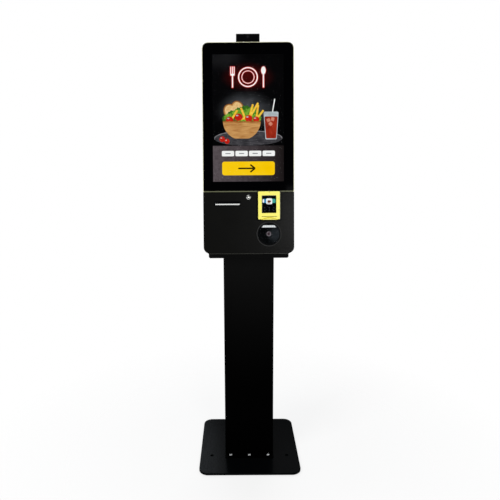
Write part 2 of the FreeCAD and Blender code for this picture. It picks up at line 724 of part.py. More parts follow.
def new_sketch(body, plane, place, outlines):
    """Sketch on a plane of the body's own origin, moved to the coordinate place."""
    sketch = body.newObject("Sketcher::SketchObject", f"{body.Label}_sketch")
    sketch.AttachmentSupport = [(origin_part(body, f"{plane}_Plane"), "")]
    sketch.MapMode = "FlatFace"
    sense = "-" if plane == "XZ" else ""
    sketch.setExpression("AttachmentOffset.Base.z", bound(f"{sense}({place})"))
    for draw in outlines:
        draw(sketch)
    return sketch


def pad(body, plane, start, end, *outlines):
    """Add material from start to end, which are coordinates square to the plane."""
    feature = body.newObject("PartDesign::Pad", f"{body.Label}_pad")
    feature.Profile = new_sketch(body, plane, start, outlines)
    feature.setExpression("Length", bound(f"({end}) - ({start})"))
    feature.Reversed = plane == "XZ"
    body.Tip = feature
    return feature


def cut(body, plane, start, end, *outlines):
    """Take material away from start to end."""
    feature = body.newObject("PartDesign::Pocket", f"{body.Label}_pocket")
    feature.Profile = new_sketch(body, plane, start, outlines)
    feature.setExpression("Length", bound(f"({end}) - ({start})"))
    feature.Reversed = plane != "XZ"
    body.Tip = feature
    return feature


# A turned piece's sketch holds radius and length: about the head's depth, across it, or upright
TURNING = {"depth": ("XY", "V_Axis"), "across": ("XY", "H_Axis"), "upright": ("XZ", "V_Axis")}


def turn(body, axis, *outlines):
    """Revolve outlines about an axis through the body's origin."""
    plane, line_name = TURNING[axis]
    feature = body.newObject("PartDesign::Revolution", f"{body.Label}_turned")
    feature.Profile = new_sketch(body, plane, "0", outlines)
    feature.ReferenceAxis = (feature.Profile[0], [line_name])
    feature.Angle = 360
    body.Tip = feature
    return feature


def picked(body, kind, test):
    """Names of the edges or faces of a body's latest shape that pass a test."""
    document.recompute()
    items = getattr(body.Tip.Shape, f"{kind}s")
    return [f"{kind}{number}" for number, item in enumerate(items, start=1) if test(item)]


def lying(**places):
    """Test for an edge or face that lies wholly at the given x, y or z."""
    wanted = {axis.upper(): value(text) for axis, text in places.items()}

    def test(item):
        box = item.BoundBox
        return all(
            abs(getattr(box, f"{axis}{side}") - place) < SAME_PLACE
            for axis, place in wanted.items()
            for side in ("Min", "Max")
        )

    return test


def soften(body, kind, size, test):
    """Fillet or chamfer the edges that pass a test."""
    chosen = (body.Tip, picked(body, "Edge", test))
    feature = body.newObject(f"PartDesign::{kind}", f"{body.Label}_{kind.lower()}")
    feature.Base = chosen
    feature.setExpression("Radius" if kind == "Fillet" else "Size", bound(size))
    body.Tip = feature
    return feature


def hollow(body, wall, test):
    """Turn a solid into a shell that is open at the faces that pass a test."""
    chosen = (body.Tip, picked(body, "Face", test))
    feature = body.newObject("PartDesign::Thickness", f"{body.Label}_shell")
    feature.Base = chosen
    feature.setExpression("Value", bound(wall))
    feature.Reversed = True
    body.Tip = feature
    return feature


def repeat(body, features, *rows):
    """Repeat features along rows of (axis, whole length, count)."""
    together = body.newObject("PartDesign::MultiTransform", f"{body.Label}_repeated")
    together.Originals = features
    steps = []
    for axis, length, count in rows:
        step = body.newObject("PartDesign::LinearPattern", f"{body.Label}_row")
        step.Direction = (origin_part(body, f"{axis}_Axis"), [""])
        step.setExpression("Length", bound(length))
        step.setExpression("Occurrences", bound(count))
        steps.append(step)
    together.Transformations = steps
    body.Tip = together
    return together


def both_sides(body, features):
    """Mirror features to the other side of the centre plane."""
    feature = body.newObject("PartDesign::Mirrored", f"{body.Label}_mirrored")
    feature.Originals = features
    feature.MirrorPlane = (origin_part(body, "YZ_Plane"), [""])
    body.Tip = feature
    return feature


# The stand


def make_foot_pads():
    pads = new_piece("foot_pads")
    places = all_corners("pad_at", "pad_at")
    pad(pads, "XY", "0", "pad_thick", *[disc(x, y, "pad_wide") for x, y in places])
    screw_holes = [disc(x, y, "pad_screw_size") for x, y in places]
    cut(pads, "XY", "pad_thick - pad_screw_bite", "pad_thick", *screw_holes)


def foot_bolt_holes():
    """Holes that the base plate and the column's foot share."""
    rows = ("-foot_bolt_at", "foot_bolt_at")
    places = [(x, y) for y in rows for x in ("-foot_bolt_step", "0", "foot_bolt_step")]
    return [disc(x, y, "foot_bolt_size + bolt_slack") for x, y in places]


def make_base_plate():
    plate = new_piece("base_plate")
    half = "plate_size / 2"
    square = (f"-{half}", half, f"-{half}", half)
    pad(plate, "XY", "pad_thick", "plate_top", rectangle(*square, "plate_corner"))
    soften(plate, "Fillet", "plate_edge", lying(z="plate_top"))
    anchors = [disc(f"{side} * anchor_span / 2", "-foot_bolt_at", "anchor_hole") for side in (-1, 1)]
    bolts = foot_bolt_holes()
    cables = disc("0", "0", "floor_hole")
    cut(plate, "XY", "pad_thick", "plate_top", *anchors, *bolts, cables)
    places = all_corners("pad_at", "pad_at")
    screws = new_sketch(plate, "XY", "plate_top", [disc(x, y, "pad_screw_size") for x, y in places])
    document.recompute()
    holes = plate.newObject("PartDesign::Hole", "base_plate_screw_holes")
    holes.Profile = screws
    holes.DepthType = "ThroughAll"
    holes.HoleCutType = "Countersink"
    holes.HoleCutCustomValues = True
    holes.HoleCutCountersinkAngle = 90
    holes.setExpression("Diameter", bound("pad_screw_size + bolt_slack"))
    holes.setExpression("HoleCutDiameter", bound("pad_screw_head + bolt_slack"))
    plate.Tip = holes


def make_foot_pad_screws():
    screws = new_piece("foot_pad_screws", "placement(vector(-pad_at; -pad_at; 0); " + NO_TURN + ")")
    profile = polygon(
        ("0", "pad_thick - pad_screw_bite"),
        ("pad_screw_size / 2", "pad_thick - pad_screw_bite"),
        ("pad_screw_size / 2", "plate_top - (pad_screw_head - pad_screw_size) / 2"),
        ("pad_screw_head / 2", "plate_top"),
        ("0", "plate_top"),
    )
    one = turn(screws, "upright", profile)
    repeat(screws, [one], ("X", "2 * pad_at", "2"), ("Y", "2 * pad_at", "2"))


def make_column_foot():
    foot = new_piece("column_foot")
    reach = "column_deep / 2 + foot_reach"
    outline = block("0", "0", "column_wide", f"2 * ({reach})", "foot_corner")
    pad(foot, "XY", "plate_top", "foot_top", outline)
    inside = block("0", "0", "column_wide - 2 * foot_rim", "column_deep - 2 * foot_rim", "foot_corner")
    cut(foot, "XY", "plate_top", "foot_top", inside, *foot_bolt_holes())


def make_column_bolts():
    place = f"placement(vector(-foot_bolt_step; -foot_bolt_at; 0); {NO_TURN})"
    bolts = new_piece("column_bolts", place)
    washer_top = "foot_top + washer_thick"
    shank = pad(bolts, "XY", "pad_thick", "foot_top", disc("0", "0", "foot_bolt_size"))
    washer = pad(bolts, "XY", "foot_top", washer_top, disc("0", "0", "washer_wide"))
    head_top = f"{washer_top} + foot_bolt_head"
    head = pad(bolts, "XY", washer_top, head_top, hexagon("0", "0", "foot_bolt_flats"))
    rows = (("X", "2 * foot_bolt_step", "3"), ("Y", "2 * foot_bolt_at", "2"))
    repeat(bolts, [shank, washer, head], *rows)


def column_screw_heights():
    low = "foot_top + cover_screw_inset"
    high = f"{height_of('column_back', 'tray_under')} - cover_screw_inset"
    return low, high


def make_column_shell():
    shell = new_piece("column_shell")
    top = f"{height_of('column_face', 'tray_under')} + 1"
    outer = block("0", "0", "column_wide", "column_deep", "column_fold")
    pad(shell, "XY", "foot_top", top, outer)
    inner = rectangle("-column_inside", "column_inside", "column_face + column_wall", "return_inner",
                      "column_fold - column_wall / 2")
    cut(shell, "XY", "foot_top", top, inner)
    seat = rectangle("-column_inside", "column_inside", "cover_inner", "column_back + 1")
    cut(shell, "XY", "foot_top", top, seat)
    gap = rectangle("-column_inside + column_return", "column_inside - column_return",
                    "return_inner - column_wall", "column_back")
    cut(shell, "XY", "foot_top", top, gap)
    # The top is cut square to the head's face, so that the tray lies flat on it
    before = "column_face - column_wall"
    behind = "column_back + column_wall"
    over = f"{top} + column_wall"
    wedge = polygon(
        (before, height_of(before, "tray_under")),
        (behind, height_of(behind, "tray_under")),
        (behind, over),
        (before, over),
    )
    cut(shell, "YZ", "-column_wide", "column_wide", wedge)
    low, high = column_screw_heights()
    aside = "column_inside - column_return / 2"
    holes = [disc(f"{side} * ({aside})", z, "cover_screw_size") for side in (-1, 1)
             for z in (low, f"({low} + {high}) / 2", high)]
    cut(shell, "XZ", "return_inner", "cover_inner", *holes)


def make_column_rear_cover():
    cover = new_piece("column_rear_cover")
    half = "column_inside - cover_slack"
    top = f"{height_of('column_back', 'tray_under')} - cover_slack"
    low = "foot_top + cover_slack"
    pad(cover, "XZ", "cover_inner", "column_back", rectangle(f"-({half})", half, low, top))
    notch = "column_inside / 3"
    cable_way = rectangle(f"-({notch})", notch, f"{low} - 1", f"{low} + cover_lift",
                          (None, None, "foot_corner", "foot_corner"))
    cut(cover, "XZ", "cover_inner", "column_back", cable_way)
    low, high = column_screw_heights()
    aside = "column_inside - column_return / 2"
    holes = [disc(f"{side} * ({aside})", z, "cover_screw_size + bolt_slack") for side in (-1, 1)
             for z in (low, f"({low} + {high}) / 2", high)]
    cut(cover, "XZ", "cover_inner", "column_back", *holes)


def make_column_cover_screws():
    low, high = column_screw_heights()
    aside = "column_inside - column_return / 2"
    screws = new_piece("column_cover_screws", f"placement(vector(-({aside}); column_back; {low}); {NO_TURN})")
    shank = pad(screws, "XZ", "-cover_screw_long", "0", disc("0", "0", "cover_screw_size"))
    head = pad(screws, "XZ", "0", "cover_screw_rise", disc("0", "0", "cover_screw_head"))
    repeat(screws, [shank, head], ("X", f"2 * ({aside})", "2"), ("Z", f"{high} - ({low})", "3"))


def neck_middle():
    """Middle of the column's top in the head's depth."""
    return depth_of("0", "tray_under")


def neck_bolt_places():
    places = all_corners("neck_bolt_across / 2", "neck_bolt_along / 2")
    return [(x, f"{neck_middle()} + {y}") for x, y in places]


def neck_openings():
    """Cable hole and bolt holes that the cap, the tray and the housing's floor share."""
    cables = block("0", neck_middle(), "neck_hole_wide", "neck_hole_deep", "neck_hole_round")
    return [cables] + [disc(x, y, "neck_bolt_size + bolt_slack") for x, y in neck_bolt_places()]


def make_column_cap():
    cap = new_piece("column_cap", HEAD)
    half = "column_inside - cap_slack"
    front = f"{depth_of('column_face + column_wall', 'cap_under')} + cap_slack"
    back = f"{depth_of('return_inner', 'tray_under')} - cap_slack"
    pad(cap, "XY", "cap_under", "tray_under", rectangle(f"-({half})", half, front, back, "foot_corner"))
    cut(cap, "XY", "cap_under", "tray_under", *neck_openings())


def make_saddle_tray():
    tray = new_piece("saddle_tray", HEAD)
    front = depth_of("column_face - tray_over", "tray_under")
    back = depth_of("column_back + tray_over", "tray_under")
    lip_low = "tray_under - tray_lip"
    rise = f"(({back}) - ({front})) * tan(lean)"
    side_view = polygon(
        (front, "housing_low"),
        (front, lip_low),
        (back, f"{lip_low} + {rise}"),
        (back, "housing_low"),
    )
    pad(tray, "YZ", "-tray_wide / 2", "tray_wide / 2", side_view)

    def lower_side(edge):
        box = edge.BoundBox
        at_side = abs(abs(box.XMin) - value("tray_wide / 2")) < SAME_PLACE and box.XLength < SAME_PLACE
        return at_side and box.YLength > SAME_PLACE and box.ZMin < value("tray_under")

    soften(tray, "Fillet", "tray_corner", lower_side)
    inner_front = f"{front} + tray_wall"
    inner_back = f"{back} - tray_wall"
    hollow_view = polygon(
        (inner_front, "tray_under"),
        (inner_front, f"{lip_low} - tray_wall"),
        (inner_back, f"{lip_low} - tray_wall"),
        (inner_back, "tray_under"),
    )
    inside = "tray_wide / 2 - tray_wall"
    cut(tray, "YZ", f"-({inside})", inside, hollow_view)
    cut(tray, "XY", "tray_under", "housing_low", *neck_openings())


def make_neck_bolts():
    start = neck_bolt_places()[0]
    bolts = new_piece("neck_bolts", in_head(start[0], start[1], "0"))
    floor_top = "housing_low + housing_wall"
    nut_low = "cap_under - neck_nut_tall"
    shank = pad(bolts, "XY", f"{nut_low} - neck_bolt_end", floor_top, disc("0", "0", "neck_bolt_size"))
    head_top = f"{floor_top} + neck_bolt_head"
    head = pad(bolts, "XY", floor_top, head_top, hexagon("0", "0", "neck_bolt_flats"))
    nut = pad(bolts, "XY", nut_low, "cap_under", hexagon("0", "0", "neck_bolt_flats"))
    rows = (("X", "neck_bolt_across", "2"), ("Y", "neck_bolt_along", "2"))
    repeat(bolts, [shank, head, nut], *rows)


# The head's frame, housing and screen


def back_at(high):
    """Depth of the housing's lower back, which stands plumb over the column's back."""
    return depth_of("column_back", high)


def make_rear_housing():
    housing = new_piece("rear_housing", HEAD)
    knee_top = "-knee_over"
    knee_low = "-knee_under"
    side_view = polygon(
        ("frame_back", "housing_top"),
        ("frame_back", "housing_low"),
        (back_at("housing_low"), "housing_low"),
        (back_at(knee_low), knee_low),
        ("housing_thin", knee_top),
        ("housing_thin", "housing_top"),
    )
    pad(housing, "YZ", "-housing_half", "housing_half", side_view)
    soften(housing, "Fillet", "housing_round", lying(y="housing_thin", z="housing_top"))
    soften(housing, "Fillet", "knee_round", lying(y="housing_thin", z=knee_top))
    soften(housing, "Fillet", "knee_round", lying(y=back_at(knee_low), z=knee_low))
    soften(housing, "Fillet", "tray_corner", lying(y=back_at("housing_low"), z="housing_low"))

    def along_side(edge):
        box = edge.BoundBox
        at_side = abs(abs(box.XMin) - value("housing_half")) < SAME_PLACE and box.XLength < SAME_PLACE
        return at_side and box.YMax > value("frame_back") + SAME_PLACE

    soften(housing, "Fillet", "housing_fold", along_side)
    hollow(housing, "housing_wall", lying(y="frame_back"))
    lip = rectangle("-housing_inside", "housing_inside", "housing_low + housing_wall",
                    "housing_top - housing_wall")
    lip_hole = rectangle("-housing_inside + lip_wide", "housing_inside - lip_wide",
                         "housing_low + housing_wall + lip_wide", "housing_top - housing_wall - lip_wide",
                         "housing_fold")
    pad(housing, "XZ", "frame_back", "frame_back + housing_wall", lip, lip_hole)
    opening = block("0", "service_up", "service_wide", "service_tall", "service_round")
    across, up = cover_screw_places()
    holes = [disc(x, f"service_up + {z}", "cover_screw_size") for x, z in all_corners(across, up)]
    cut(housing, "XZ", "housing_thin - housing_wall", "housing_thin", opening, *holes)
    cut(housing, "XY", "housing_low", "housing_low + housing_wall", *neck_openings())
    inlet_high = "((column_back - head_y) * sin(lean) + (inlet_height - head_z) * cos(lean))"
    inlet = block("inlet_aside", inlet_high, "inlet_wide - 2 * inlet_body + inlet_slack",
                  "inlet_tall - 2 * inlet_body + 2 * inlet_slack")
    cut(housing, "XZ", "housing_thin", back_at("housing_low"), inlet)
    low_slot = "-speaker_down - (sound_slots - 1) / 2 * sound_slot_step"
    sound = slot("speaker_back", low_slot, "sound_slot_long", "sound_slot_wide")
    slits = cut(housing, "YZ", "-housing_half", "housing_half", sound)
    repeat(housing, [slits], ("Z", "(sound_slots - 1) * sound_slot_step", "sound_slots"))


def make_mid_frame():
    frame = new_piece("mid_frame", HEAD)
    half = "head_wide / 2"
    rounds = ("frame_low_corner", "frame_low_corner", "head_corner", "head_corner")
    outline = rectangle(f"-{half}", half, "frame_low", "frame_top", rounds)
    pad(frame, "XZ", "frame_front", "frame_back", outline)
    upper_rounds = (None, None, "head_corner", "head_corner")
    upper = rectangle(f"-{half}", half, "joint_low", "frame_top", upper_rounds)
    pad(frame, "XZ", "rim_back", "frame_front", upper)
    ledge = "glass_half + rim_gap"
    inner_corner = "head_corner - rim"
    glass_seat = rectangle(f"-({ledge})", ledge, "joint_top", "glass_over + rim_gap",
                           (None, None, inner_corner, inner_corner))
    cut(frame, "XZ", "rim_back", "glass_thick", glass_seat)
    panel = block("0", "screen_mid", "2 * window_half", "lcd_tall + 2 * window_slack")
    cut(frame, "XZ", "glass_thick", "frame_back", panel)
    bay = rectangle("-bay_half", "bay_half", "bay_low", "bay_top", "housing_fold")
    cut(frame, "XZ", "frame_front", "frame_back", bay)


def make_display_glass():
    glass = new_piece("display_glass", HEAD)
    corner = "head_corner - rim - rim_gap"
    rounds = (None, None, corner, corner)
    face = rectangle("-glass_half", "glass_half", "-glass_under", "glass_over", rounds)
    pad(glass, "XZ", "0", "glass_thick", face)
    soften(glass, "Chamfer", "glass_bevel", lying(y="0"))


def make_glass_gasket():
    gasket = new_piece("glass_gasket", HEAD)
    outer = block("0", "screen_mid", "lcd_wide - 2 * gasket_set", "lcd_tall - 2 * gasket_set")
    inner = block("0", "screen_mid", "screen_wide + 2 * gasket_set", "screen_tall + 2 * gasket_set")
    pad(gasket, "XZ", "glass_thick", "lcd_front", outer, inner)


def make_lcd_panel():
    panel = new_piece("lcd_panel", HEAD)
    pad(panel, "XZ", "lcd_front", "lcd_back", block("0", "screen_mid", "lcd_wide", "lcd_tall"))
    picture = block("0", "screen_mid", "screen_wide", "screen_tall")
    cut(panel, "XZ", "lcd_front", "lcd_front + lcd_sink", picture)


def make_lcd_rails():
    rails = new_piece("lcd_rails", HEAD)
    low = "screen_mid - rail_span / 2 - rail_tall / 2"
    channel = rectangle("-window_half", "window_half", low, f"{low} + rail_tall")
    whole = pad(rails, "XZ", "lcd_back", "frame_back", channel)
    inside = rectangle("-window_half + rail_sheet", "window_half - rail_sheet", f"{low} + rail_sheet",
                       f"{low} + rail_tall - rail_sheet")
    trough = cut(rails, "XZ", "lcd_back + rail_sheet", "frame_back", inside)
    repeat(rails, [whole, trough], ("Z", "rail_span", "2"))


def make_board_plate():
    plate = new_piece("board_plate", HEAD)
    outline = block("0", "screen_mid", "shelf_wide", "shelf_tall", "foot_corner")
    pad(plate, "XZ", "frame_back", "shelf_back", outline)


def make_main_board():
    board = new_piece("main_board", HEAD)
    across = "board_wide / 2 - standoff_inset"
    up = "board_tall / 2 - standoff_inset"
    posts = [disc(x, f"board_up + {z}", "standoff") for x, z in all_corners(across, up)]
    pad(board, "XZ", "shelf_back", "shelf_back + standoff", *posts)
    near = "shelf_back + standoff"
    far = f"{near} + board_thick"
    pad(board, "XZ", near, far, block("0", "board_up", "board_wide", "board_tall"))
    sink_x = "sink_size / 4 - board_wide / 4"
    pad(board, "XZ", far, f"{far} + sink_floor", block(sink_x, "board_up", "sink_size", "sink_size"))
    fin_x = f"{sink_x} - sink_size / 2 + fin_thick / 2"
    one_fin = block(fin_x, "board_up", "fin_thick", "sink_size")
    fin = pad(board, "XZ", f"{far} + sink_floor", f"{far} + sink_tall", one_fin)
    repeat(board, [fin], ("X", "sink_size - fin_thick", "fin_count"))
    ports = block("board_wide / 4", "board_up - board_tall / 2 + port_deep / 2", "port_wide", "port_deep")
    pad(board, "XZ", far, f"{far} + port_deep", ports)


def make_power_supply():
    supply = new_piece("power_supply", HEAD)
    back = "shelf_back + supply_deep"
    pad(supply, "XZ", "shelf_back", back, block("0", "-supply_down", "supply_wide", "supply_tall"))
    low = "-supply_down - supply_tall / 2"
    well = rectangle("-supply_wide / 2 + supply_sheet", "supply_wide / 2 - supply_sheet", f"{low} - 1",
                     f"{low} + supply_open")
    cut(supply, "XZ", "shelf_back + supply_open / 2", back, well)


def make_speakers():
    speakers = new_piece("speakers", HEAD)
    outer = block("speaker_back", "-speaker_down", "speaker_deep", "speaker_tall")
    box = pad(speakers, "YZ", "housing_inside - speaker_thick", "housing_inside", outer)
    cone = disc("speaker_back", "-speaker_down", "speaker_cone")
    dish = cut(speakers, "YZ", "housing_inside - speaker_thick / 2", "housing_inside", cone)
    both_sides(speakers, [box, dish])


def cover_screw_places():
    across = "service_wide / 2 + service_lap / 2"
    return across, "service_tall / 2 + service_lap / 2"


def make_rear_cover():
    cover = new_piece("rear_cover", HEAD)
    back = "housing_thin + service_thick"
    wide = "service_wide + 2 * service_lap"
    tall = "service_tall + 2 * service_lap"
    pad(cover, "XZ", "housing_thin", back, block("0", "service_up", wide, tall, "service_round"))
    across, up = cover_screw_places()
    hole = "cover_screw_size + bolt_slack"
    holes = [disc(x, f"service_up + {z}", hole) for x, z in all_corners(across, up)]
    cut(cover, "XZ", "housing_thin", back, *holes)
    lowest = "vent_up - (vent_rows - 1) / 2 * vent_step"
    vents = [slot(f"{side} * vent_aside", lowest, "vent_long", "vent_wide") for side in (-1, 1)]
    slits = cut(cover, "XZ", "housing_thin", back, *vents)
    repeat(cover, [slits], ("Z", "(vent_rows - 1) * vent_step", "vent_rows"))


def make_rear_cover_screws():
    across, up = cover_screw_places()
    back = "housing_thin + service_thick"
    screws = new_piece("rear_cover_screws", in_head(f"-({across})", back, f"service_up - ({up})"))
    shank = pad(screws, "XZ", "-service_thick - housing_wall", "0", disc("0", "0", "cover_screw_size"))
    head = pad(screws, "XZ", "0", "cover_screw_rise", disc("0", "0", "cover_screw_head"))
    repeat(screws, [shank, head], ("X", f"2 * ({across})", "2"), ("Z", f"2 * ({up})", "2"))


def make_power_inlet():
    inlet = new_piece("power_inlet")
    face = "column_back + inlet_flange"
    flange = block("inlet_aside", "inlet_height", "inlet_wide", "inlet_tall", "inlet_body")
    pad(inlet, "XZ", "column_back", face, flange)
    body = block("inlet_aside", "inlet_height", "inlet_wide - 2 * inlet_body",
                 "inlet_tall - 2 * inlet_body")
    pad(inlet, "XZ", "column_back - inlet_deep", "column_back", body)
    socket = block("inlet_aside", "socket_z", "socket_wide", "socket_tall", "inlet_body")
    cut(inlet, "XZ", f"{face} - socket_deep", face, socket)
    outer = [block(f"inlet_aside + {side} * prong_span / 2", "socket_z - prong_up / 2", "prong_thick",
                   "prong_wide")
             for side in (-1, 1)]
    earth = block("inlet_aside", "socket_z + prong_up / 2", "prong_thick", "prong_wide")
    pad(inlet, "XZ", f"{face} - socket_deep", f"{face} - socket_deep + prong_long", *outer, earth)
    well = block("inlet_aside", "switch_z", "switch_wide + 2 * switch_slack",
                 "switch_tall + 2 * switch_slack")
    cut(inlet, "XZ", f"{face} - switch_well", face, well)
    reach = "switch_wide / 2 + trunnion_long + switch_slack / 2"
    bore = disc("rocker_y", "switch_z", "trunnion_size + 2 * shaft_slack")
    cut(inlet, "YZ", f"inlet_aside - ({reach})", f"inlet_aside + {reach}", bore)


def make_power_switch():
    place = "placement(vector(inlet_aside; rocker_y; switch_z); rotation(vector(1; 0; 0); rocker_tilt))"
    rocker = new_piece("power_switch", place)
    half = "switch_tall / 2"
    side_view = polygon(
        ("-rocker_root", f"-{half} + rocker_root / 2"),
        ("rocker_tip", f"-{half}"),
        ("rocker_dip", "0"),
        ("rocker_tip", half),
        ("-rocker_root", f"{half} - rocker_root / 2"),
    )
    pad(rocker, "YZ", "-switch_wide / 2", "switch_wide / 2", side_view)
    reach = "switch_wide / 2 + trunnion_long"
    pad(rocker, "YZ", f"-({reach})", reach, disc("0", "0", "trunnion_size"))


# The service door


def notch_half():
    """Half width of a notch in the door's lower return, which passes the ear and its foot."""
    return "(lug_thick + lug_gap + ear_foot) / 2 + notch_slack"


def make_door_panel():
    door = new_piece("door_panel", HEAD)
    half = "head_wide / 2"
    rounds = ("head_corner", "head_corner", "door_edge", "door_edge")
    outline = rectangle(f"-{half}", half, "door_low", "door_top", rounds)
    pad(door, "XZ", "0", "door_deep", outline)
    soften(door, "Fillet", "door_edge", lying(y="0"))
    inner_corner = "head_corner - door_wall"
    inside = rectangle(f"-{half} + door_wall", f"{half} - door_wall", "door_low + door_wall",
                       "door_top - door_wall", (inner_corner, inner_corner, None, None))
    cut(door, "XZ", "door_wall", "door_deep", inside)
    slot_hole = block("-slot_aside", "paper_z - slot_lip / 2", "slot_wide + bezel_side",
                      "slot_gap + slot_lip + bezel_side")
    lock_hole = disc("0", "lock_z", "lock_barrel_size + bolt_slack")
    scanner_hole = disc("scanner_aside", "scanner_z", "2 * sleeve_out + 2 * dish_slack")
    slack = "2 * terminal_hole_slack"
    terminal_hole = block("terminal_aside", "terminal_back_z", f"terminal_back_wide + {slack}",
                          f"terminal_back_tall + {slack}")
    cut(door, "XZ", "0", "door_wall", slot_hole, lock_hole, scanner_hole, terminal_hole)
    notch_x = "pivot_aside - lug_gap - ear_foot / 2"
    notches = [block(f"{side} * ({notch_x})", "door_wall + door_deep / 2", f"2 * ({notch_half()})",
                     "door_deep")
               for side in (-1, 1)]
    cut(door, "XY", "door_low", "door_low + door_wall", *notches)
    lug_view = rectangle("door_wall", "pivot_back + pivot_size", "pivot_z - ear_half", "pivot_z + pivot_size")
    lug = pad(door, "YZ", "pivot_aside - lug_thick / 2", "pivot_aside + lug_thick / 2", lug_view)
    bore = cut(door, "YZ", "pivot_aside - lug_thick / 2", "pivot_aside + lug_thick / 2",
               disc("pivot_back", "pivot_z", "pivot_size + 2 * pivot_slack"))
    both_sides(door, [lug, bore])


def make_pivot_brackets():
    ears = new_piece("pivot_brackets", HEAD)
    outer = "pivot_aside - lug_thick / 2 - lug_gap"
    inner = f"{outer} - lug_thick"
    tip = pad(ears, "YZ", inner, outer, disc("pivot_back", "pivot_z", "2 * ear_half"))
    ear_view = rectangle("pivot_back", "frame_front", "pivot_z - ear_half", "pivot_z + ear_half")
    ear = pad(ears, "YZ", inner, outer, ear_view)
    foot_view = rectangle("frame_front - ear_foot_thick", "frame_front", "pivot_z - ear_foot_half",
                          "pivot_z + ear_foot_half")
    foot = pad(ears, "YZ", f"{outer} - ear_foot", outer, foot_view)
    bore = cut(ears, "YZ", inner, outer, disc("pivot_back", "pivot_z", "pivot_size"))
    both_sides(ears, [tip, ear, foot, bore])


def make_pivot_pins():
    pins = new_piece("pivot_pins", HEAD)
    inner = "pivot_aside - lug_thick * 3 / 2 - lug_gap - lug_gap"
    outer = "pivot_aside + lug_thick / 2 + lug_gap"
    one = pad(pins, "YZ", inner, outer, disc("pivot_back", "pivot_z", "pivot_size"))
    both_sides(pins, [one])


def make_slot_bezel():
    bezel = new_piece("slot_bezel", in_head("-slot_aside", "0", "0"))
    low = "slot_z - slot_lip / 2"
    high = f"{low} + slot_lip + slot_gap"
    half = "slot_wide / 2"
    flange = rectangle(f"-{half} - bezel_side", f"{half} + bezel_side", f"{low} - bezel_side",
                       f"{high} + bezel_side", "bezel_round")
    pad(bezel, "XZ", "-bezel_rise", "0", flange)
    side = "bezel_side / 2"
    sleeve = rectangle(f"-{half} - {side}", f"{half} + {side}", f"{low} - {side}", f"{high} + {side}")
    pad(bezel, "XZ", "0", "bezel_deep", sleeve)
    soften(bezel, "Fillet", "bezel_rise / 2", lying(y="-bezel_rise"))
    cut(bezel, "XZ", "-bezel_rise", "bezel_deep", rectangle(f"-{half}", half, low, high))


def make_slot_lip():
    lip = new_piece("slot_lip", in_head("-slot_aside", "0", "0"))
    low = "slot_z - slot_lip / 2"
    high = "slot_z + slot_lip / 2"
    side_view = polygon(
        ("-lip_rise", low),
        ("bezel_deep", low),
        ("bezel_deep", high),
        ("bezel_rise", high),
        ("-lip_rise", f"{high} - bezel_rise"),
    )
    pad(lip, "YZ", "-slot_wide / 2", "slot_wide / 2", side_view)


def make_lock_barrel():
    barrel = new_piece("lock_barrel", in_head("0", "0", "lock_z"))
    bore = "lock_plug_size / 2 + lock_slack"
    nut_end = "door_wall + lock_nut_thick"
    profile = polygon(
        (bore, "-lock_rise"),
        ("lock_face / 2 - lock_rise / 2", "-lock_rise"),
        ("lock_face / 2", "-lock_rise / 2"),
        ("lock_face / 2", "0"),
        ("lock_barrel_size / 2", "0"),
        ("lock_barrel_size / 2", "door_wall"),
        ("lock_nut_wide / 2", "door_wall"),
        ("lock_nut_wide / 2", nut_end),
        ("lock_barrel_size / 2", nut_end),
        ("lock_barrel_size / 2", "lock_barrel_end"),
        (bore, "lock_barrel_end"),
    )
    turn(barrel, "depth", profile)


def make_lock_plug():
    plug = new_piece("lock_plug", in_head("0", "0", "lock_z"))
    end = "cam_front + cam_thick"
    profile = rectangle("0", "lock_plug_size / 2", "-lock_rise + door_gap", end)
    turn(plug, "depth", profile)
    key_slot = block("0", "0", "key_slot_wide", "key_slot_long")
    cut(plug, "XZ", "-lock_rise", "-lock_rise + key_slot_deep", key_slot)


def make_lock_cam():
    cam = new_piece("lock_cam", in_head("0", "0", "lock_z"))
    end = "cam_front + cam_thick"
    pad(cam, "XZ", "cam_front", end, disc("0", "0", "cam_hub"))
    rounds = (None, "cam_wide / 4", "cam_wide / 4", None)
    arm = rectangle("0", "cam_long", "-cam_wide / 2", "cam_wide / 2", rounds)
    pad(cam, "XZ", "cam_front", end, arm)
    cut(cam, "XZ", "cam_front", end, disc("0", "0", "lock_plug_size"))


def make_lock_strike():
    strike = new_piece("lock_strike", HEAD)
    half = "strike_wide / 2"
    plate = rectangle(f"-{half}", half, "bay_top", "bay_top + cam_wide", "strike_thick")
    pad(strike, "XZ", "frame_back", "frame_back + strike_thick", plate)


# The card terminal on the door


def make_terminal_body():
    body = new_piece("terminal_body", in_head("terminal_aside", "0", "0"))
    wide = "terminal_wide + 2 * terminal_rim"
    tall = "terminal_tall + terminal_rim - terminal_top"
    middle = "terminal_z - terminal_rim / 2 - terminal_top / 2"
    pad(body, "XZ", "-terminal_proud", "0", block("0", middle, wide, tall, "terminal_corner"))
    back_part = block("0", "terminal_back_z", "terminal_back_wide", "terminal_back_tall")
    pad(body, "XZ", "0", "terminal_back_deep", back_part)
    soften(body, "Fillet", "terminal_corner", lying(y="terminal_back_deep"))
    lap = "2 * window_lap"
    seat = block("0", "window_z", f"window_wide + {lap}", f"window_tall + {lap}")
    cut(body, "XZ", "-terminal_proud", "-terminal_proud + terminal_glass_thick", seat)
    slot_depth = "terminal_face + card_slot_deep"
    cut(body, "XZ", "-terminal_proud", slot_depth, card_slot())


def card_slot():
    return block("0", "terminal_foot + chin_tall + card_slot_tall / 2", "card_slot_wide", "card_slot_tall")


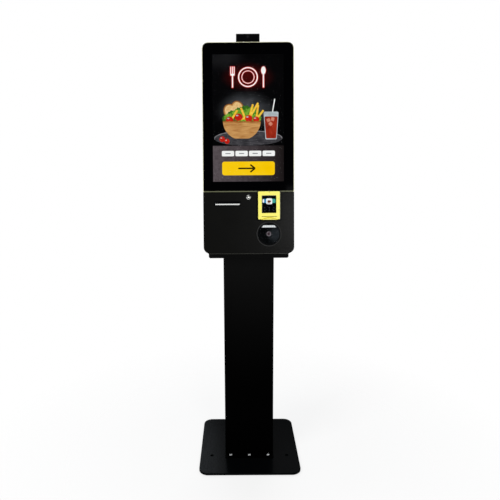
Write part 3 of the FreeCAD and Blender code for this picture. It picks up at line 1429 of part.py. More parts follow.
def make_terminal_frame():
    frame = new_piece("terminal_frame", in_head("terminal_aside", "0", "0"))
    top = "terminal_z + terminal_tall / 2"
    outline = block("0", "terminal_z", "terminal_wide", "terminal_tall", "terminal_corner")
    pad(frame, "XZ", "terminal_face", "-terminal_proud", outline)
    pad(frame, "XZ", "terminal_face", "-terminal_proud", disc("0", f"{top} - tab_drop", "tab_wide"))
    soften(frame, "Fillet", "terminal_frame_thick / 3", lying(y="terminal_face"))
    foot = arch("0", "terminal_foot", "chin_wide", "chin_tall")
    tip = arch("0", "terminal_foot + chin_tip_tall / 5", "chin_tip_wide", "chin_tip_tall")
    chin = frame.newObject("PartDesign::AdditiveLoft", "terminal_frame_chin")
    chin.Profile = new_sketch(frame, "XZ", "-terminal_proud - terminal_frame_thick / 2", [foot])
    chin.Sections = [new_sketch(frame, "XZ", "terminal_face - chin_rise", [tip])]
    chin.Ruled = True
    frame.Tip = chin
    window = block("0", "window_z", "window_wide", "window_tall", "window_lap")
    dimples = [disc("dimple_aside", f"window_z + {side} * dimple_span / 2", "screw_dimple")
               for side in (-1, 1)]
    light = disc("0", f"{top} - tab_drop", "tab_hole")
    cut(frame, "XZ", "terminal_face", "-terminal_proud", window, light, *dimples, card_slot())


def make_terminal_glass():
    glass = new_piece("terminal_glass", in_head("terminal_aside", "0", "0"))
    lap = "2 * window_lap"
    outline = block("0", "window_z", f"window_wide + {lap}", f"window_tall + {lap}")
    pad(glass, "XZ", "-terminal_proud", "-terminal_proud + terminal_glass_thick", outline)


def make_terminal_clamp():
    clamp = new_piece("terminal_clamp", in_head("terminal_aside", "0", "0"))
    lap = "2 * clamp_lap"
    slack = "2 * clamp_slack"
    outer = block("0", "terminal_back_z", f"terminal_back_wide + {lap}", f"terminal_back_tall + {lap}",
                  "terminal_corner")
    inner = block("0", "terminal_back_z", f"terminal_back_wide + {slack}",
                  f"terminal_back_tall + {slack}")
    pad(clamp, "XZ", "door_wall", "door_wall + clamp_thick", outer, inner)


# The code scanner on the door


def make_scanner_ring():
    ring = new_piece("scanner_ring", in_head("scanner_aside", "0", "scanner_z"))
    profile = polygon(
        ("dish_wide / 2", "0"),
        ("dish_wide / 2 + ring_rise", "-ring_rise"),
        ("ring_wide / 2 - ring_rise", "-ring_rise"),
        ("ring_wide / 2", "0"),
        ("sleeve_out", "0"),
        ("sleeve_out", "ring_sleeve_deep"),
        ("dish_wide / 2", "ring_sleeve_deep"),
    )
    turn(ring, "depth", profile)


def make_scanner_window():
    window = new_piece("scanner_window", in_head("scanner_aside", "0", "scanner_z"))
    radius = "dish_wide / 2 - dish_slack"
    start = "dish_slack"
    turn(window, "depth", rectangle("0", radius, start, f"{start} + scanner_glass_thick"))


def make_scanner_cup():
    cup = new_piece("scanner_cup", in_head("scanner_aside", "0", "scanner_z"))
    rim = "ring_sleeve_deep"
    outer = "cup_in + cup_wall"
    profile = polygon(
        ("0", "dish_floor_back"),
        ("dish_floor / 2", "dish_floor_back"),
        ("dish_rim_in", rim),
        ("cup_in", rim),
        ("cup_in", "door_wall"),
        (f"{outer} + cup_flange", "door_wall"),
        (f"{outer} + cup_flange", "door_wall + cup_flange_thick"),
        (outer, "door_wall + cup_flange_thick"),
        (outer, "cup_back"),
        ("0", "cup_back"),
    )
    turn(cup, "depth", profile)


def make_scanner_light():
    light = new_piece("scanner_light", in_head("scanner_aside", "0", "scanner_z"))
    strip = band("light_low", "light_low + light_tall", "light_round")
    pad(light, "XZ", "light_front", "ring_sleeve_deep", strip)


def make_scanner_lens():
    lens = new_piece("scanner_lens", in_head("scanner_aside", "0", "scanner_z"))
    front = "dish_floor_back - scan_lens_long"
    profile = polygon(
        ("0", f"{front} + cup_flange_thick / 2"),
        ("scan_lens_glass / 2", f"{front} + cup_flange_thick"),
        ("scan_lens_glass / 2 + cup_flange_thick / 2", front),
        ("scan_lens_wide / 2", front),
        ("scan_lens_wide / 2", "dish_floor_back"),
        ("0", "dish_floor_back"),
    )
    turn(lens, "depth", profile)


# The receipt printer in the head


def printer_place():
    return in_head("-slot_aside", "0", "0")


def make_printer_chassis():
    chassis = new_piece("printer_chassis", printer_place())
    floor = "housing_low + housing_wall"
    bucket_front = "roll_back - bucket_radius"
    bucket_back = "roll_back + bucket_radius"
    side_view = polygon(
        ("cheek_front", "paper_z + cheek_top"),
        ("cheek_front", "paper_z - cheek_low"),
        (bucket_front, "paper_z - cheek_low"),
        (bucket_front, "roll_z"),
        ("cheek_foot_front", "roll_z - bucket_radius"),
        ("cheek_foot_front", floor),
        (bucket_back, floor),
        (bucket_back, "roll_z + bucket_high"),
        ("cheek_top_back", "paper_z + cheek_top"),
    )
    near = pad(chassis, "YZ", "bucket_half", "cheek_half", side_view)
    foot = rectangle("cheek_half - cheek_foot", "cheek_half", "cheek_foot_front", bucket_back)
    foot_near = pad(chassis, "XY", floor, f"{floor} + cheek_thick", foot)
    bearing = disc("platen_back", "platen_z", "platen_shaft_size + 2 * shaft_slack")
    motor_hole = disc("motor_y", "platen_z", "motor_shaft + 2 * bolt_slack")
    bores = cut(chassis, "YZ", "bucket_half", "cheek_half", bearing, motor_hole)
    both_sides(chassis, [near, foot_near, bores])
    beam = rectangle("cheek_top_back - motor_size / 2", "cheek_top_back - motor_size / 2 + cheek_foot",
                     "paper_z + cheek_top - cheek_thick", "paper_z + cheek_top")
    pad(chassis, "YZ", "-bucket_half", "bucket_half", beam)
    axle = disc("idler_y", "platen_z", "idler_axle")
    pad(chassis, "YZ", "-cheek_half - gear_gap - gear_wide", "-cheek_half", axle)


def make_printer_bucket():
    bucket = new_piece("printer_bucket", printer_place())
    front = "roll_back - bucket_radius"
    back = "roll_back + bucket_radius"
    outer = rectangle(front, back, "roll_z - bucket_radius", "roll_z + bucket_high",
                      ("bucket_radius - bucket_wall", "bucket_radius - bucket_wall", None, None))
    pad(bucket, "YZ", "-bucket_half", "bucket_half", outer)
    bay_half = "roll_wide / 2"
    cut(bucket, "YZ", f"-{bay_half}", bay_half, disc("roll_back", "roll_z", "roll_size"))
    mouth = rectangle(f"{front} - 1", "roll_back + roll_size / 2", "roll_z - bucket_lip",
                      "roll_z + bucket_high + 1")
    cut(bucket, "YZ", f"-{bay_half}", bay_half, mouth)


def make_cutter_frame():
    frame = new_piece("cutter_frame", printer_place())
    low = "paper_z - cutter_low"
    high = "paper_z + cutter_high"
    pad(frame, "XZ", "cutter_front", "cutter_back", rectangle("-bucket_half", "bucket_half", low, high))
    guide_end = "blade_front + blade_thick + blade_slack"
    guide_in = "blade_half + blade_slack"
    ledge_top = "blade_top - blade_tall - blade_slack"
    guides = [rectangle("-bucket_half", f"-({guide_in})", low, high),
              rectangle(guide_in, "bucket_half", low, high)]
    pad(frame, "XZ", "cutter_back", guide_end, *guides)
    ledge = rectangle(f"-({guide_in})", guide_in, low, ledge_top)
    pad(frame, "XZ", "cutter_back", guide_end, ledge)
    cut(frame, "XZ", "cutter_front", "cutter_back", block("0", "paper_z", "paper_wide", "paper_slit"))


def make_cutter_blade():
    blade = new_piece("cutter_blade", printer_place())
    low = "blade_top - blade_tall"
    outline = polygon(
        ("-blade_half", low),
        ("blade_half", low),
        ("blade_half", "blade_top"),
        ("0", "blade_top - blade_vee"),
        ("-blade_half", "blade_top"),
    )
    pad(blade, "XZ", "blade_front", "blade_front + blade_thick", outline)


def make_print_head():
    head = new_piece("print_head", printer_place())
    low = "paper_z + print_head_gap"
    front = "platen_back - print_head_deep / 2"
    back = "platen_back + print_head_deep / 2"
    high = f"{low} + print_head_tall"
    pad(head, "YZ", "-bucket_half", "bucket_half", rectangle(front, back, low, high))
    first = f"{front} + head_fin_step"
    groove = rectangle(first, f"{first} + head_fin_step / 2", f"{high} - print_head_tall / 2", high)
    fins = cut(head, "YZ", "-bucket_half", "bucket_half", groove)
    repeat(head, [fins], ("Y", "print_head_deep - 2 * head_fin_step - head_fin_step / 2", "3"))


def make_platen():
    shaft = new_piece("platen_shaft", in_head("-slot_aside", "platen_back", "platen_z"))
    far = "cheek_half + gear_gap"
    pad(shaft, "YZ", "-cheek_half - gear_gap - gear_wide", far, disc("0", "0", "platen_shaft_size"))
    roller = new_piece("platen_roller", in_head("-slot_aside", "platen_back", "platen_z"))
    outlines = (disc("0", "0", "platen_size"), disc("0", "0", "platen_shaft_size"))
    pad(roller, "YZ", "-platen_long / 2", "platen_long / 2", *outlines)


def make_feed_motor():
    motor = new_piece("feed_motor", in_head("-slot_aside - bucket_half", "motor_y", "platen_z"))
    pad(motor, "YZ", "0", "motor_long", disc("0", "0", "motor_size"))
    soften(motor, "Chamfer", "bolt_slack", lying(x="motor_long"))
    cut(motor, "YZ", "0", "motor_long / 2", disc("0", "0", "motor_shaft + 2 * shaft_slack"))


def tooth_ring(teeth, bore):
    """Spur gear face with involute flanks, first tooth towards +Y, in the plane x = 0."""
    module = value("gear_module")
    pitch = module * teeth / 2
    pressure = math.radians(20)
    base = pitch * math.cos(pressure)
    tip = pitch + 0.9 * module
    root = pitch - 1.25 * module
    half_tooth = math.pi / 2 / teeth - value("gear_backlash") / 4 / pitch

    def roll(radius):
        """Angle that the involute has swept where it reaches a radius."""
        if radius <= base:
            return 0.0
        angle = math.acos(base / radius)
        return math.tan(angle) - angle

    def spot(radius, angle):
        return FreeCAD.Vector(0, radius * math.cos(angle), radius * math.sin(angle))

    start = max(base, root)
    edges = []
    for tooth in range(teeth):
        middle = 2 * math.pi * tooth / teeth
        following = middle + 2 * math.pi / teeth

        def flank(radius, sign, about):
            return spot(radius, about + sign * (half_tooth + roll(pitch) - roll(radius)))

        between = (start + tip) / 2
        if start > root:
            edges.append(Part.LineSegment(flank(root, -1, middle), flank(start, -1, middle)))
        rising = (flank(start, -1, middle), flank(between, -1, middle), flank(tip, -1, middle))
        edges.append(Part.Arc(*rising))
        edges.append(Part.LineSegment(flank(tip, -1, middle), flank(tip, 1, middle)))
        falling = (flank(tip, 1, middle), flank(between, 1, middle), flank(start, 1, middle))
        edges.append(Part.Arc(*falling))
        if start > root:
            edges.append(Part.LineSegment(flank(start, 1, middle), flank(root, 1, middle)))
        edges.append(Part.LineSegment(flank(root, 1, middle), flank(root, -1, following)))
    outline = Part.Wire([edge.toShape() for edge in edges])
    face = Part.Face(outline)
    if bore:
        hole = Part.Wire(Part.makeCircle(bore / 2, FreeCAD.Vector(), FreeCAD.Vector(1, 0, 0)))
        face = face.cut(Part.Face(hole))
    return face


def make_gear(label, teeth_name, bore, depth, turned):
    """Gear whose shape is worked out tooth by tooth, beside the printer's left side plate."""
    teeth = int(value(teeth_name))
    gear = document.addObject("Part::Feature", label)
    gear.Label = label
    wide = value("gear_wide")
    gear.Shape = tooth_ring(teeth, value(bore)).extrude(FreeCAD.Vector(-wide, 0, 0))
    place = f"placement(vector(gear_near; {depth}; platen_z); rotation(vector(1; 0; 0); {turned}))"
    gear.setExpression("Placement", bound(f"{HEAD} * {place}"))
    pieces.append(gear)
    return gear


def make_gears():
    make_gear("platen_gear", "platen_teeth", "platen_shaft_size", "platen_back", "0")
    # Turned by half a tooth, the idler meets the platen gear's tooth at its front with a gap. Its count
    # is even, so a gap faces the motor gear too, whose first tooth is turned to the front
    idler_bore = "idler_axle + 2 * shaft_slack"
    make_gear("idler_gear", "idler_teeth", idler_bore, "idler_y", "180 + 180 / idler_teeth")
    make_gear("motor_gear", "motor_teeth", "motor_shaft", "motor_y", "180")


def make_motor_shaft():
    shaft = new_piece("motor_shaft", in_head("gear_near", "motor_y", "platen_z"))
    pad(shaft, "YZ", "-gear_wide", "gear_gap + cheek_thick + motor_long / 3", disc("0", "0", "motor_shaft"))


# The camera on the head's top edge


def make_camera_bracket():
    bracket = new_piece("camera_bracket", in_head("0", "camera_mid", "0"))
    foot = block("0", "0", "bracket_foot", "bracket_ear", "bracket_sheet")
    pad(bracket, "XY", "frame_top", "frame_top + bracket_sheet", foot)
    ear_top = "tilt_z + bracket_ear / 2"
    ear_view = rectangle("-bracket_ear / 2", "bracket_ear / 2", "frame_top", ear_top,
                         (None, None, "bracket_ear / 3", "bracket_ear / 3"))
    outer = "bracket_wide / 2"
    web = rectangle(f"-{outer}", outer, "frame_top", "tilt_z - tilt_pin")
    pad(bracket, "XZ", "bracket_ear / 2 - bracket_sheet", "bracket_ear / 2", web)
    ear = pad(bracket, "YZ", f"{outer} - bracket_sheet", outer, ear_view)
    bore = cut(bracket, "YZ", f"{outer} - bracket_sheet", outer, disc("0", "tilt_z", "tilt_pin"))
    both_sides(bracket, [ear, bore])


def make_camera_pin():
    pin = new_piece("camera_pin", in_head("0", "camera_mid", "tilt_z"))
    half = "tilt_notch / 2 + tilt_up"
    pad(pin, "YZ", f"-({half})", half, disc("0", "0", "tilt_pin"))


def make_camera_housing():
    camera = new_piece("camera_housing", in_head("0", "camera_mid", "camera_low"))
    half = "camera_deep / 2"
    side_view = rectangle(f"-{half}", half, "0", "camera_tall",
                          ("camera_round", "camera_round", "camera_edge", "camera_edge"))
    pad(camera, "YZ", "-camera_wide / 2", "camera_wide / 2", side_view)
    ends = "camera_wide / 2"

    def end_edges(edge):
        box = edge.BoundBox
        return abs(abs(box.XMin) - value(ends)) < SAME_PLACE and box.XLength < SAME_PLACE

    soften(camera, "Fillet", "camera_edge / 2", end_edges)
    notch = rectangle("-tilt_notch / 2", "tilt_notch / 2", f"-{half} + tilt_notch_wall", f"{half} + 1")
    cut(camera, "XY", "-1", "tilt_notch_high", notch)
    bore_half = "tilt_notch / 2 + tilt_up + tilt_slack"
    cut(camera, "YZ", f"-({bore_half})", bore_half, disc("0", "tilt_up", "tilt_pin + 2 * tilt_slack"))
    lens_z = "camera_tall - lens_down"
    cut(camera, "XZ", f"-{half}", f"-{half} + lens_deep", disc("0", lens_z, "lens_wide"))


def make_camera_lens():
    place = in_head("0", "camera_mid - camera_deep / 2", "camera_low + camera_tall - lens_down")
    lens = new_piece("camera_lens", place)
    profile = polygon(
        ("0", "lens_sink"),
        ("lens_wide / 4", "lens_sink + lens_sink / 2"),
        ("lens_wide / 3", "lens_sink / 2"),
        ("lens_wide / 2", "lens_sink / 2"),
        ("lens_wide / 2", "lens_deep"),
        ("0", "lens_deep"),
    )
    turn(lens, "depth", profile)


MAKERS = (
    make_foot_pads,
    make_base_plate,
    make_foot_pad_screws,
    make_column_foot,
    make_column_bolts,
    make_column_shell,
    make_column_rear_cover,
    make_column_cover_screws,
    make_column_cap,
    make_saddle_tray,
    make_neck_bolts,
    make_rear_housing,
    make_mid_frame,
    make_display_glass,
    make_glass_gasket,
    make_lcd_panel,
    make_lcd_rails,
    make_board_plate,
    make_main_board,
    make_power_supply,
    make_speakers,
    make_rear_cover,
    make_rear_cover_screws,
    make_power_inlet,
    make_power_switch,
    make_door_panel,
    make_pivot_brackets,
    make_pivot_pins,
    make_slot_bezel,
    make_slot_lip,
    make_lock_barrel,
    make_lock_plug,
    make_lock_cam,
    make_lock_strike,
    make_terminal_body,
    make_terminal_frame,
    make_terminal_glass,
    make_terminal_clamp,
    make_scanner_ring,
    make_scanner_window,
    make_scanner_cup,
    make_scanner_light,
    make_scanner_lens,
    make_printer_chassis,
    make_printer_bucket,
    make_cutter_frame,
    make_cutter_blade,
    make_print_head,
    make_platen,
    make_feed_motor,
    make_gears,
    make_motor_shaft,
    make_camera_bracket,
    make_camera_pin,
    make_camera_housing,
    make_camera_lens,
)

for maker in MAKERS:
    maker()
document.recompute()


def check_model():
    """Stop before anything is written if a feature failed or a cut took nothing away."""
    for item in document.Objects:
        if "Invalid" in item.State or "Error" in item.State:
            raise RuntimeError(f"{item.Name} is {item.State}")
        if item.TypeId == "PartDesign::Pocket":
            taken = item.BaseFeature.Shape.Volume - item.Shape.Volume
            if taken <= 0:
                raise RuntimeError(f"{item.Name} cuts nothing")
    for piece in pieces:
        if piece.Shape.isNull() or not piece.Shape.isValid():
            raise RuntimeError(f"{piece.Label} has no sound shape")


check_model()
for piece in pieces:
    piece.Shape.exportStep(os.path.join("parts", f"{piece.Label}.step"))
print(f"{len(pieces)} pieces written")
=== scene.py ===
# %% [markdown]
# # A self-order kiosk, dressed in Blender
# The kiosk is a square steel foot, a folded column and a leaning head with a tall touch screen. Below the
# screen sits a service door with a receipt slot, a lock, a card terminal and a code scanner. Its solids
# come from a CAD model and only get their finishes here. What CAD leaves plain is modelled in this file:
# the screws and bolts, and the pictures on the two screens.

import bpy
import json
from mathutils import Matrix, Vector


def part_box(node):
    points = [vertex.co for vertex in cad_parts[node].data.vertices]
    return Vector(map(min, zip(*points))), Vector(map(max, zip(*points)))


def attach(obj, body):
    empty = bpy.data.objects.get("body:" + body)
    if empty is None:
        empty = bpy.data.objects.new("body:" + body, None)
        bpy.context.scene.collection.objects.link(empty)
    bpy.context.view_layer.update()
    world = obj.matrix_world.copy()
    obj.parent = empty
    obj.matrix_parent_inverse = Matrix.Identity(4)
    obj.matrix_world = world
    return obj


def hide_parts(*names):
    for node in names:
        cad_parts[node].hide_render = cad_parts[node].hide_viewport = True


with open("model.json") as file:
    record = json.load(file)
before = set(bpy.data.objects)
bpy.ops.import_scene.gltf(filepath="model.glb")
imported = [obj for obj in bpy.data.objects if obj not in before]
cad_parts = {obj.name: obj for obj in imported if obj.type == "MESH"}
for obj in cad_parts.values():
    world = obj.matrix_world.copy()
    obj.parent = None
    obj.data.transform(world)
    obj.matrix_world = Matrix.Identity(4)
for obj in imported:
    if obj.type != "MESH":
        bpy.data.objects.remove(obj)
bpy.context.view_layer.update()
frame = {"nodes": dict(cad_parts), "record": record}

# %% [markdown]
# Blender's Python module is bpy. Meshes are shaped with bmesh, and places are kept as matrices. The
# Standard view shows a colour as it is written, while Blender's default would soften it like film.

# %% Modules
import json
from functools import partial
from math import pi, radians, sqrt

import bmesh
import bpy
from mathutils import Matrix, Vector

scene = bpy.context.scene
scene.view_settings.view_transform = "Standard"
collection = scene.collection
print("Blender", bpy.app.version_string)

# %% [markdown]
# ## Camera
# The photograph was taken from about two metres, at chest height and a little left of the middle, with the
# camera tipped down a few degrees and not quite level. The vertical edges lean together as they do there.
# The slight shift stands for the crop of the picture.

# %% Camera
lens = bpy.data.cameras.new("camera")
lens.sensor_width = 36.0
lens.lens = 36.34
lens.shift_x = 0.0293
lens.shift_y = -0.0537
camera = bpy.data.objects.new("camera", lens)
camera.location = (-0.0474, -1.9972, 1.2569)
camera.rotation_euler = (radians(90 - 8.364), radians(0.395), radians(0.049))
collection.objects.link(camera)
scene.camera = camera
print("camera", tuple(camera.location))

# %% [markdown]
# ## Helpers for materials
# Colours are written as the hex values that a paint program shows. A shader socket wants linear light, so
# one function turns them. Another adds a node, sets it and links it, which keeps each material short. Its
# inputs are named, or fill the sockets in order; given a node in place of a value, it links that node's
# first output in use. Map Range takes a value, the two ends of the range that is read, and the two that
# they become, which are 0 and 1 unless given. A Mix node has a pair of inputs for each type of value, and
# those for colours are numbers 6 and 7.
#
# Patterns are sized in millimetres: the scale of a noise is the number of its marks in a metre. They are
# drawn by Object coordinates. Every piece has its origin at the room's, so at rest these are places in the
# room, and they move along when the piece does.

# %% Helpers for materials
MIX_A, MIX_B = 6, 7
finishes = {}


def srgb(hex_colour):
    """Linear colour of a hex value such as '#c0ffee'."""
    parts = [int(hex_colour[i:i + 2], 16) / 255 for i in (1, 3, 5)]
    linear = [c / 12.92 if c <= 0.04045 else ((c + 0.055) / 1.055) ** 2.4 for c in parts]
    return (*linear, 1.0)


def add_node(tree, kind, inputs=(), operation=None, **settings):
    """One node with its settings. An input is a value, a hex colour, a node, or a node's output."""
    node = tree.nodes.new("ShaderNode" + kind)
    if kind == "Mix":
        node.data_type = "RGBA"
    if operation:
        node.operation = operation
    for name, value in settings.items():
        setattr(node, name, value)
    for socket, value in (inputs.items() if isinstance(inputs, dict) else enumerate(inputs)):
        if isinstance(value, bpy.types.Node):
            value = next(output for output in value.outputs if output.enabled)
        if isinstance(value, bpy.types.NodeSocket):
            tree.links.new(value, node.inputs[socket])
        else:
            node.inputs[socket].default_value = srgb(value) if isinstance(value, str) else value
    return node


def new_finish(slot, name=None):
    """Starts a material for a slot: the function that adds its nodes, and each point's place."""
    material = bpy.data.materials.new(name or slot)
    material.use_nodes = True
    material.node_tree.nodes.clear()
    finishes[slot] = material
    print("finish", slot, "is", material.name)
    add = partial(add_node, material.node_tree)
    return add, add("TexCoord").outputs["Object"]


def marks_of(millimetres):
    """Scale of a pattern whose marks are that wide."""
    return 1000.0 / millimetres

# %% [markdown]
# ## Light
# A pale studio: a soft even world, a large lamp high on the left as the main light, a weaker one on the
# right, one behind and above that draws the upper edges, and a faint cool one behind that is aimed at the
# foot. The world looks white to the camera and in reflections, but lights matt surfaces less, so colours
# come out as they are written.

# %% World
ON_MATT = 0.42  # how strongly the world lights matt surfaces
world = bpy.data.worlds.new("studio")
scene.world = world
world.use_nodes = True
world.node_tree.nodes.clear()
add = partial(add_node, world.node_tree)
ray = add("LightPath").outputs
seen = add("Math", (ray["Is Camera Ray"], ray["Is Glossy Ray"]), "ADD")
seen = add("Math", (seen, ray["Is Transmission Ray"]), "ADD", use_clamp=True)
strength = add("MapRange", (seen, 0.0, 1.0, ON_MATT))
air = add("Background", {"Color": "#ffffff", "Strength": strength})
add("OutputWorld", (air,))
print("world:", len(world.node_tree.nodes), "nodes")

# %% Lamps
def add_lamp(name, place, aim, watts, size):
    """Square area lamp that looks at a point."""
    light = bpy.data.lights.new(name, "AREA")
    light.energy = watts
    light.size = size
    lamp = bpy.data.objects.new(name, light)
    lamp.location = place
    lamp.rotation_euler = (Vector(aim) - Vector(place)).to_track_quat("-Z", "Y").to_euler()
    collection.objects.link(lamp)
    return lamp


add_lamp("key_lamp", (-2.1, -2.0, 2.7), (0.0, 0.0, 0.9), 48.0, 1.4)
add_lamp("fill_lamp", (0.6, -2.1, 1.15), (0.1, 0.0, 1.0), 14.0, 0.5)
add_lamp("top_lamp", (0.3, 1.9, 3.2), (0.0, 0.0, 1.3), 34.0, 1.2)
left_lamp = add_lamp("left_lamp", (-0.7, 2.6, 1.7), (-0.1, 0.0, 0.1), 14.0, 0.9)
left_lamp.visible_camera = False
left_lamp.data.color = (0.84, 0.92, 1.0)

# %% [markdown]
# ## Floor
# The floor is a large disc that fades to nothing at its rim, so no horizon shows. The camera sees much
# of it as plain white, and the rest keeps the kiosk's soft shadow. Under the base plate nothing is added,
# so it stays dark in the plate's fixing holes.

# %% Floor
FLOOR_RADIUS = 3.0
ADDED_WHITE = 0.75  # share of plain white that the camera sees
UNDER_PLATE = 0.165  # half the side of the square that gets no added white
add, place = new_finish("floor", "studio_floor")
reach = add("VectorMath", (place,), "LENGTH")
fade = add("MapRange", (reach, 0.45, 1.2))
ray = add("LightPath").outputs["Is Camera Ray"]
share = add("Math", (ray, ADDED_WHITE), "MULTIPLY")
low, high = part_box("base_plate")
offset = add("VectorMath", (place, (low + high) / 2), "SUBTRACT")
offset = add("VectorMath", (offset,), "ABSOLUTE")
sides = add("SeparateXYZ", (offset,)).outputs
wider = add("Math", (sides["X"], sides["Y"]), "MAXIMUM")
open_floor = add("Math", (wider, UNDER_PLATE), "GREATER_THAN")
share = add("Math", (share, open_floor), "MULTIPLY")
matt = add("BsdfDiffuse", {"Color": "#f2f2f2"})
white = add("Emission", {"Color": "#ffffff"})
lit = add("MixShader", (share, matt, white))
faded = add("MixShader", (fade, lit, add("BsdfTransparent")))
add("OutputMaterial", (faded,))

shape = bmesh.new()
bmesh.ops.create_circle(shape, cap_ends=True, segments=96, radius=FLOOR_RADIUS)
data = bpy.data.meshes.new("floor")
shape.to_mesh(data)
shape.free()
floor = bpy.data.objects.new("floor", data)
floor.data.materials.append(finishes["floor"])
collection.objects.link(floor)
print("floor radius", FLOOR_RADIUS)

# %% [markdown]
# ## Helpers for surfaces
# Most finishes are built alike: a soft noise mixes a dark and a light tone and may vary the roughness, and
# the same noise or a finer one dents the surface a little. Three functions write that down once: they mix
# the two tones, end a material with its surface, and make a whole material of that kind.

# %% Helpers for surfaces
SHINE = "Specular IOR Level"
METAL = {"Metallic": 1.0}


def two_tones(add, place, marks, detail, dark, light):
    """A colour that a noise varies from dark to light, and the noise itself."""
    cloud = add("TexNoise", {"Vector": place, "Scale": marks_of(marks), "Detail": detail})
    return add("Mix", {0: cloud, MIX_A: dark, MIX_B: light}), cloud


def add_surface(add, colour, rough, inputs, relief=None):
    """Ends a material. relief is a pattern with the strength and the depth of its dents."""
    if relief:
        pattern, strength, depth = relief
        bump = add("Bump", {"Height": pattern, "Strength": strength, "Distance": depth})
        inputs = {**inputs, "Normal": bump}
    surface = add("BsdfPrincipled", {"Base Color": colour, "Roughness": rough, **inputs})
    add("OutputMaterial", (surface,))


def mottled(slot, name, dark, light, marks, detail, rough, inputs, dents=None, grain=None, stretch=None):
    """Material of two tones, mixed by a noise whose marks are that many millimetres wide.

    A pair in rough is the range that the noise runs through. dents gives the strength and the depth of its
    dents, or of those of a finer noise, grain. stretch draws the noise out along an axis.
    """
    add, place = new_finish(slot, name)
    if stretch:
        place = add("Mapping", {"Vector": place, "Scale": stretch})
    tone, pattern = two_tones(add, place, marks, detail, dark, light)
    if isinstance(rough, tuple):
        rough = add("MapRange", (pattern, 0.0, 1.0, *rough))
    if grain:
        pattern = add("TexNoise", {"Vector": place, "Scale": marks_of(grain)})
    add_surface(add, tone, rough, inputs, dents and (pattern, *dents))

# %% [markdown]
# ## Powder-coated steel
# The column, the tray, the housing and the covers are folded sheet with a baked black powder coat. The
# powder melts into a skin with a fine orange peel, about 1.5 mm from hump to hump. One noise makes the peel
# and a wide one lets the gloss vary, as a sprayed coat's does. The stand has a deep matt coat, with painted
# light in its colour: full black near the floor and a little paler towards hand height. The housing's is
# the same in satin, with the same painted light, so it takes a dull sheen from the lamps.

# %% Powder-coated steel
for slot, name, low_tone, high_tone, shine in (
        ("satin_black_steel", "powder_coated_steel", "#010101", "#151515", 0.004),
        ("satin_housing", "satin_powder_coat", "#080808", "#101010", 0.05)):
    add, place = new_finish(slot, name)
    peel = add("TexNoise", {"Vector": place, "Scale": marks_of(1.5)})
    cloud = add("TexNoise", {"Vector": place, "Scale": marks_of(90), "Detail": 3.0})
    gloss = add("MapRange", (cloud, 0.0, 1.0, 0.42, 0.54))
    height = add("SeparateXYZ", (place,)).outputs["Z"]
    # Painted light: the colour goes from the dark tone near the floor to the paler one higher up.
    painted_light_by_height = add("MapRange", (height, 0.28, 0.95))
    painted_light_by_height = add("Math", (painted_light_by_height, 1.6), "POWER")
    tone = add("Mix", {0: painted_light_by_height, MIX_A: low_tone, MIX_B: high_tone})
    add_surface(add, tone, gloss, {SHINE: shine}, (peel, 0.35, 0.00012))

# %% [markdown]
# ## Gloss-coated plate
# The base plate alone has a smooth gloss coat. It mirrors the pale room softly, less so towards the back,
# where dust lies. Shoes leave fine scuffs on such a plate, so a stretched noise roughens it a little.

# %% Gloss-coated plate
add, place = new_finish("gloss_black_steel", "gloss_coated_plate")
turned = add("Mapping", {"Vector": place, "Rotation": (0.0, 0.0, 0.6), "Scale": (1.0, 0.12, 1.0)})
scuff = add("TexNoise", {"Vector": turned, "Scale": marks_of(5), "Detail": 4.0, "Roughness": 0.7})
wave = add("TexNoise", {"Vector": place, "Scale": marks_of(28), "Detail": 1.0})
gloss = add("MapRange", (scuff, 0.35, 0.75, 0.16, 0.3))
back = add("SeparateXYZ", (place,)).outputs["Y"]
shine = add("MapRange", (back, -0.2, 0.2, 0.011, 0.004))
add_surface(add, "#040506", gloss, {SHINE: shine}, (wave, 0.15, 0.0002))

# %% [markdown]
# ## Painted door
# The service door is wet-painted in a warm black that is a little glossier than the powder coat, so it
# brightens towards the lamp on the right. A very fine grain keeps it from looking like plastic.

# %% Painted door
mottled("satin_black_door", "satin_painted_door", "#070706", "#0a0a09", 60, 2.0, (0.24, 0.3),
        {SHINE: 0.035}, (0.2, 0.0001), grain=0.9)

# %% [markdown]
# ## Places in the head
# The head leans back by 6 degrees. Its pieces are easier to draw in its own axes: x to the right, y from
# the glass into the head and z up the face, in millimetres from the middle of the screen. One matrix then
# puts them into the room. A Mapping node set to TEXTURE does the same for a pattern, the other way round.

# %% Places in the head
MM = 0.001
LEAN = radians(6)
FACE_MIDDLE = (0.0, -0.067, 1.373)
HEAD = Matrix.Translation(FACE_MIDDLE) @ Matrix.Rotation(-LEAN, 4, "X") @ Matrix.Scale(MM, 4)
PICTURE_WIDE, PICTURE_TALL, PICTURE_DOWN = 267.8, 476.1, 1.5
SCANNER_X, SCANNER_Z = 76.3, -437.85
LOCK_X, LOCK_Z = 0.5, -298.55
TERMINAL_X, TERMINAL_Z = 75.8, -329.35
LIP_Z = -324.75


def facing(x, depth, z):
    """Places a drawing on the head's face: its x to the right, its y up, its z towards the viewer."""
    return HEAD @ Matrix.Translation((x, depth, z)) @ Matrix.Rotation(pi / 2, 4, "X")


def in_head(add, place):
    """A point's place in the head's axes, and the outputs X, Y and Z that have its parts."""
    local = add("Mapping", {"Vector": place, "Location": FACE_MIDDLE, "Rotation": (-LEAN, 0.0, 0.0),
                            "Scale": (MM, MM, MM)}, vector_type="TEXTURE")
    return local, add("SeparateXYZ", (local,)).outputs


def away_from(add, coordinate, middle):
    """How far a coordinate is from a middle, whichever way."""
    off = add("Math", (coordinate, middle), "SUBTRACT")
    return add("Math", (off,), "ABSOLUTE")


print("middle of the picture", facing(0, 5.5, -PICTURE_DOWN).translation)
